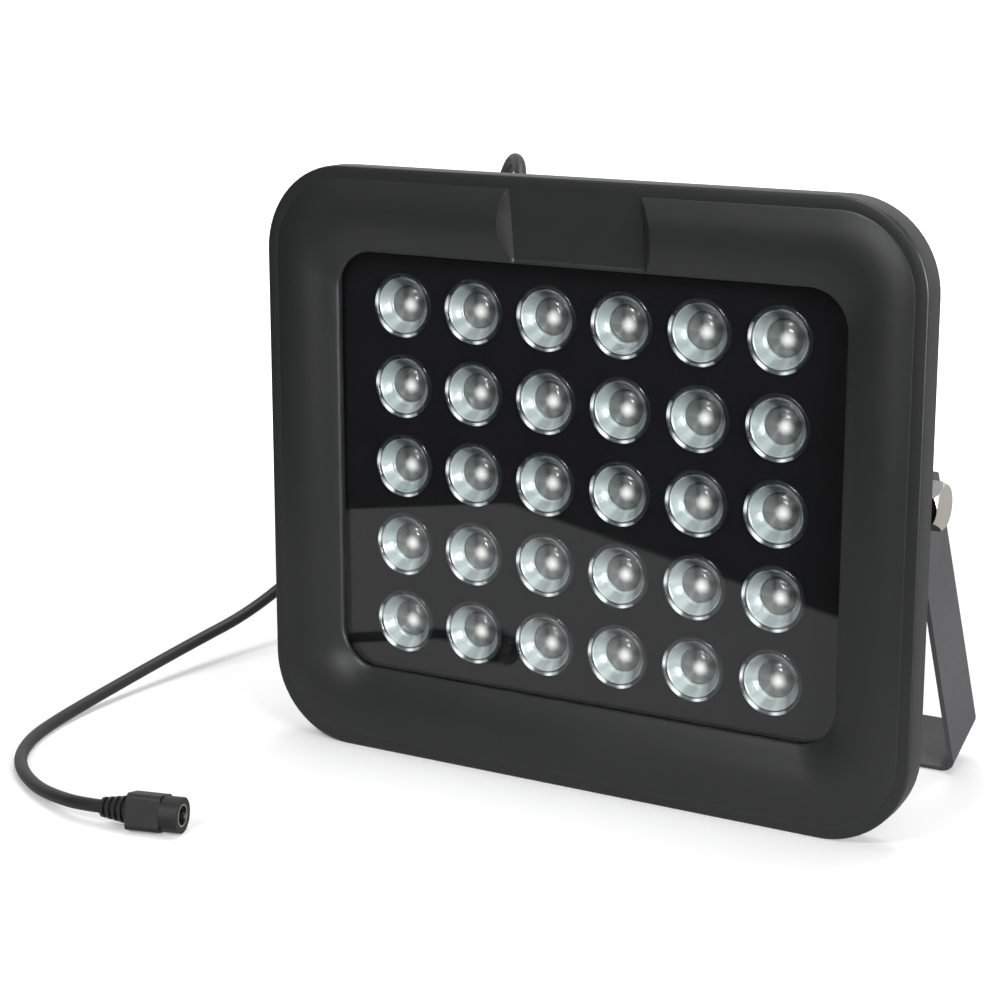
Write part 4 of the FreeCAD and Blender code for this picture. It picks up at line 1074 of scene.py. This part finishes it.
class Studio:
    """Camera, floor, background and lights."""

    # Solved from the photograph: degrees, millimetres, and pixels of a 1000 px picture.
    AZIMUTH = 30.48
    ELEVATION = 13.42
    EYE = (330.76, -648.92, 254.0)
    FOCAL = 2400.0
    PICTURE = 1000.0
    SENSOR = 36.0
    CLIP = (0.01, 50.0)
    # The table as camera rays see it.
    FLOOR_COLOUR = (0.86, 0.86, 0.86, 1.0)
    FLOOR_HALF = 40000.0
    FLOOR_LIFT = 0.16
    WHITE_FROM = (0.25, 0.5)
    # The table's front corner, in metres, and its edges' normals, as the window mirrors them.
    TABLE_CORNER = (-0.2025, -0.3459, 0.0)
    TABLE_EDGES = ((-0.435, 0.901, 0.0), (0.631, 0.775, 0.0))
    TABLE_GLOW = 0.46
    ROOM_GLOW = 0.03
    EDGE_BLUR = (-0.002, 0.002)
    # The world's strength in front of the lamp and behind it.
    WORLD_TURN = (0.3, -0.35)
    WORLD_GLOW = (0.08, 0.76)
    LAMPS = (
        Lamp("overhead", (0.0, 0.35, 1.6), (0.0, 0.0, 0.0), 1.0, 11.5),
        Lamp("front_top", (-0.1, -1.3, 1.2), (0.0, 0.0, 0.1), 0.3, 10.0),
        Lamp("right", (1.6, -0.75, 0.45), (0.0, 0.0, 0.1), 0.8, 40.0),
        Lamp("front", (-0.15, -1.8, 0.42), (0.0, 0.0, 0.12), 0.3, 5.0),
    )

    def camera(self) -> None:
        """Places the camera at the photograph's viewpoint."""
        data = bpy.data.cameras.new("camera")
        data.sensor_width = self.SENSOR
        data.lens = self.SENSOR * self.FOCAL / self.PICTURE
        data.clip_start, data.clip_end = self.CLIP
        camera = bpy.data.objects.new("camera", data)
        camera.location = Vector(self.EYE) * MM
        camera.rotation_euler = Euler((math.radians(90 - self.ELEVATION), 0.0,
                                       math.radians(self.AZIMUTH)))
        bpy.context.scene.collection.objects.link(camera)
        bpy.context.scene.camera = camera

    def floor(self) -> None:
        """A pale table that fades to white; mirrored rays see its front corner and a dark room."""
        material, net = Shaders.new_material("table")
        matte = net.nodes.new("ShaderNodeBsdfDiffuse")
        matte.inputs["Color"].default_value = self.FLOOR_COLOUR
        white = net.nodes.new("ShaderNodeEmission")
        place = net.place()
        away = net.vector_maths("LENGTH", place)["Value"]
        path = net.nodes.new("ShaderNodeLightPath").outputs
        level = net.ramp(away, self.WHITE_FROM, (self.FLOOR_LIFT, 1.0))
        net.links.new(net.maths("MULTIPLY", level, path["Is Camera Ray"]), white.inputs["Strength"])
        fade = net.nodes.new("ShaderNodeAddShader")
        net.feed(fade.inputs, (matte.outputs["BSDF"], white.outputs["Emission"]))
        offset = net.vector_maths("SUBTRACT", place, self.TABLE_CORNER)["Vector"]
        inside = [net.vector_maths("DOT_PRODUCT", offset, normal)["Value"]
                  for normal in self.TABLE_EDGES]
        within = net.maths("MINIMUM", *inside)
        mirrored = net.nodes.new("ShaderNodeEmission")
        glow = net.ramp(within, self.EDGE_BLUR, (self.ROOM_GLOW, self.TABLE_GLOW))
        net.links.new(glow, mirrored.inputs["Strength"])
        blend = net.nodes.new("ShaderNodeMixShader")
        net.feed(blend.inputs, (path["Is Glossy Ray"], fade.outputs["Shader"],
                                mirrored.outputs["Emission"]))
        net.surface(blend.outputs["Shader"])
        half = self.FLOOR_HALF
        corners = [(-half, -half, 0.0), (half, -half, 0.0), (half, half, 0.0), (-half, half, 0.0)]
        table = add_piece("table", corners, [(0, 1, 2, 3)], material)

    def world(self) -> None:
        """White behind the lamp, dim in front of it, as a product table in a room."""
        world = bpy.data.worlds.new("room")
        world.use_nodes = True
        bpy.context.scene.world = world
        world.node_tree.nodes.clear()
        net = Net(world.node_tree)
        background = net.nodes.new("ShaderNodeBackground")
        background.inputs["Color"].default_value = (1.0, 1.0, 1.0, 1.0)
        split = net.nodes.new("ShaderNodeSeparateXYZ")
        incoming = net.nodes.new("ShaderNodeNewGeometry").outputs["Incoming"]
        net.links.new(incoming, split.inputs["Vector"])
        behind = net.ramp(split.outputs["Y"], self.WORLD_TURN, self.WORLD_GLOW, "LINEAR")
        seen = net.nodes.new("ShaderNodeLightPath").outputs["Is Camera Ray"]
        net.links.new(net.maths("MAXIMUM", behind, seen), background.inputs["Strength"])
        output = net.nodes.new("ShaderNodeOutputWorld")
        net.links.new(background.outputs["Background"], output.inputs["Surface"])

    @staticmethod
    def light(lamp: Lamp) -> None:
        """Hangs a lamp.

        Args:
            lamp: Its name, place, target, size and power.
        """
        data = bpy.data.lights.new(lamp.name, "AREA")
        data.shape = "SQUARE"
        data.size = lamp.size
        data.energy = lamp.power
        light = bpy.data.objects.new(lamp.name, data)
        light.location = lamp.place
        aim = Vector(lamp.target) - Vector(lamp.place)
        light.rotation_euler = aim.to_track_quat("-Z", "Y").to_euler()
        bpy.context.scene.collection.objects.link(light)

    def build(self) -> None:
        """Sets the whole stage."""
        bpy.context.scene.view_settings.view_transform = "Standard"
        self.camera()
        self.floor()
        self.world()
        for lamp in self.LAMPS:
            self.light(lamp)


def main() -> None:
    """Builds the pieces and the stage."""
    logging.basicConfig(level=logging.INFO)
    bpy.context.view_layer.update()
    shaders = Shaders()
    CadFinishes(shaders).build()
    Casting(shaders).build()
    Optics(shaders).build()
    Cord(shaders).build()
    Studio().build()


if __name__ == "__main__":
    main()
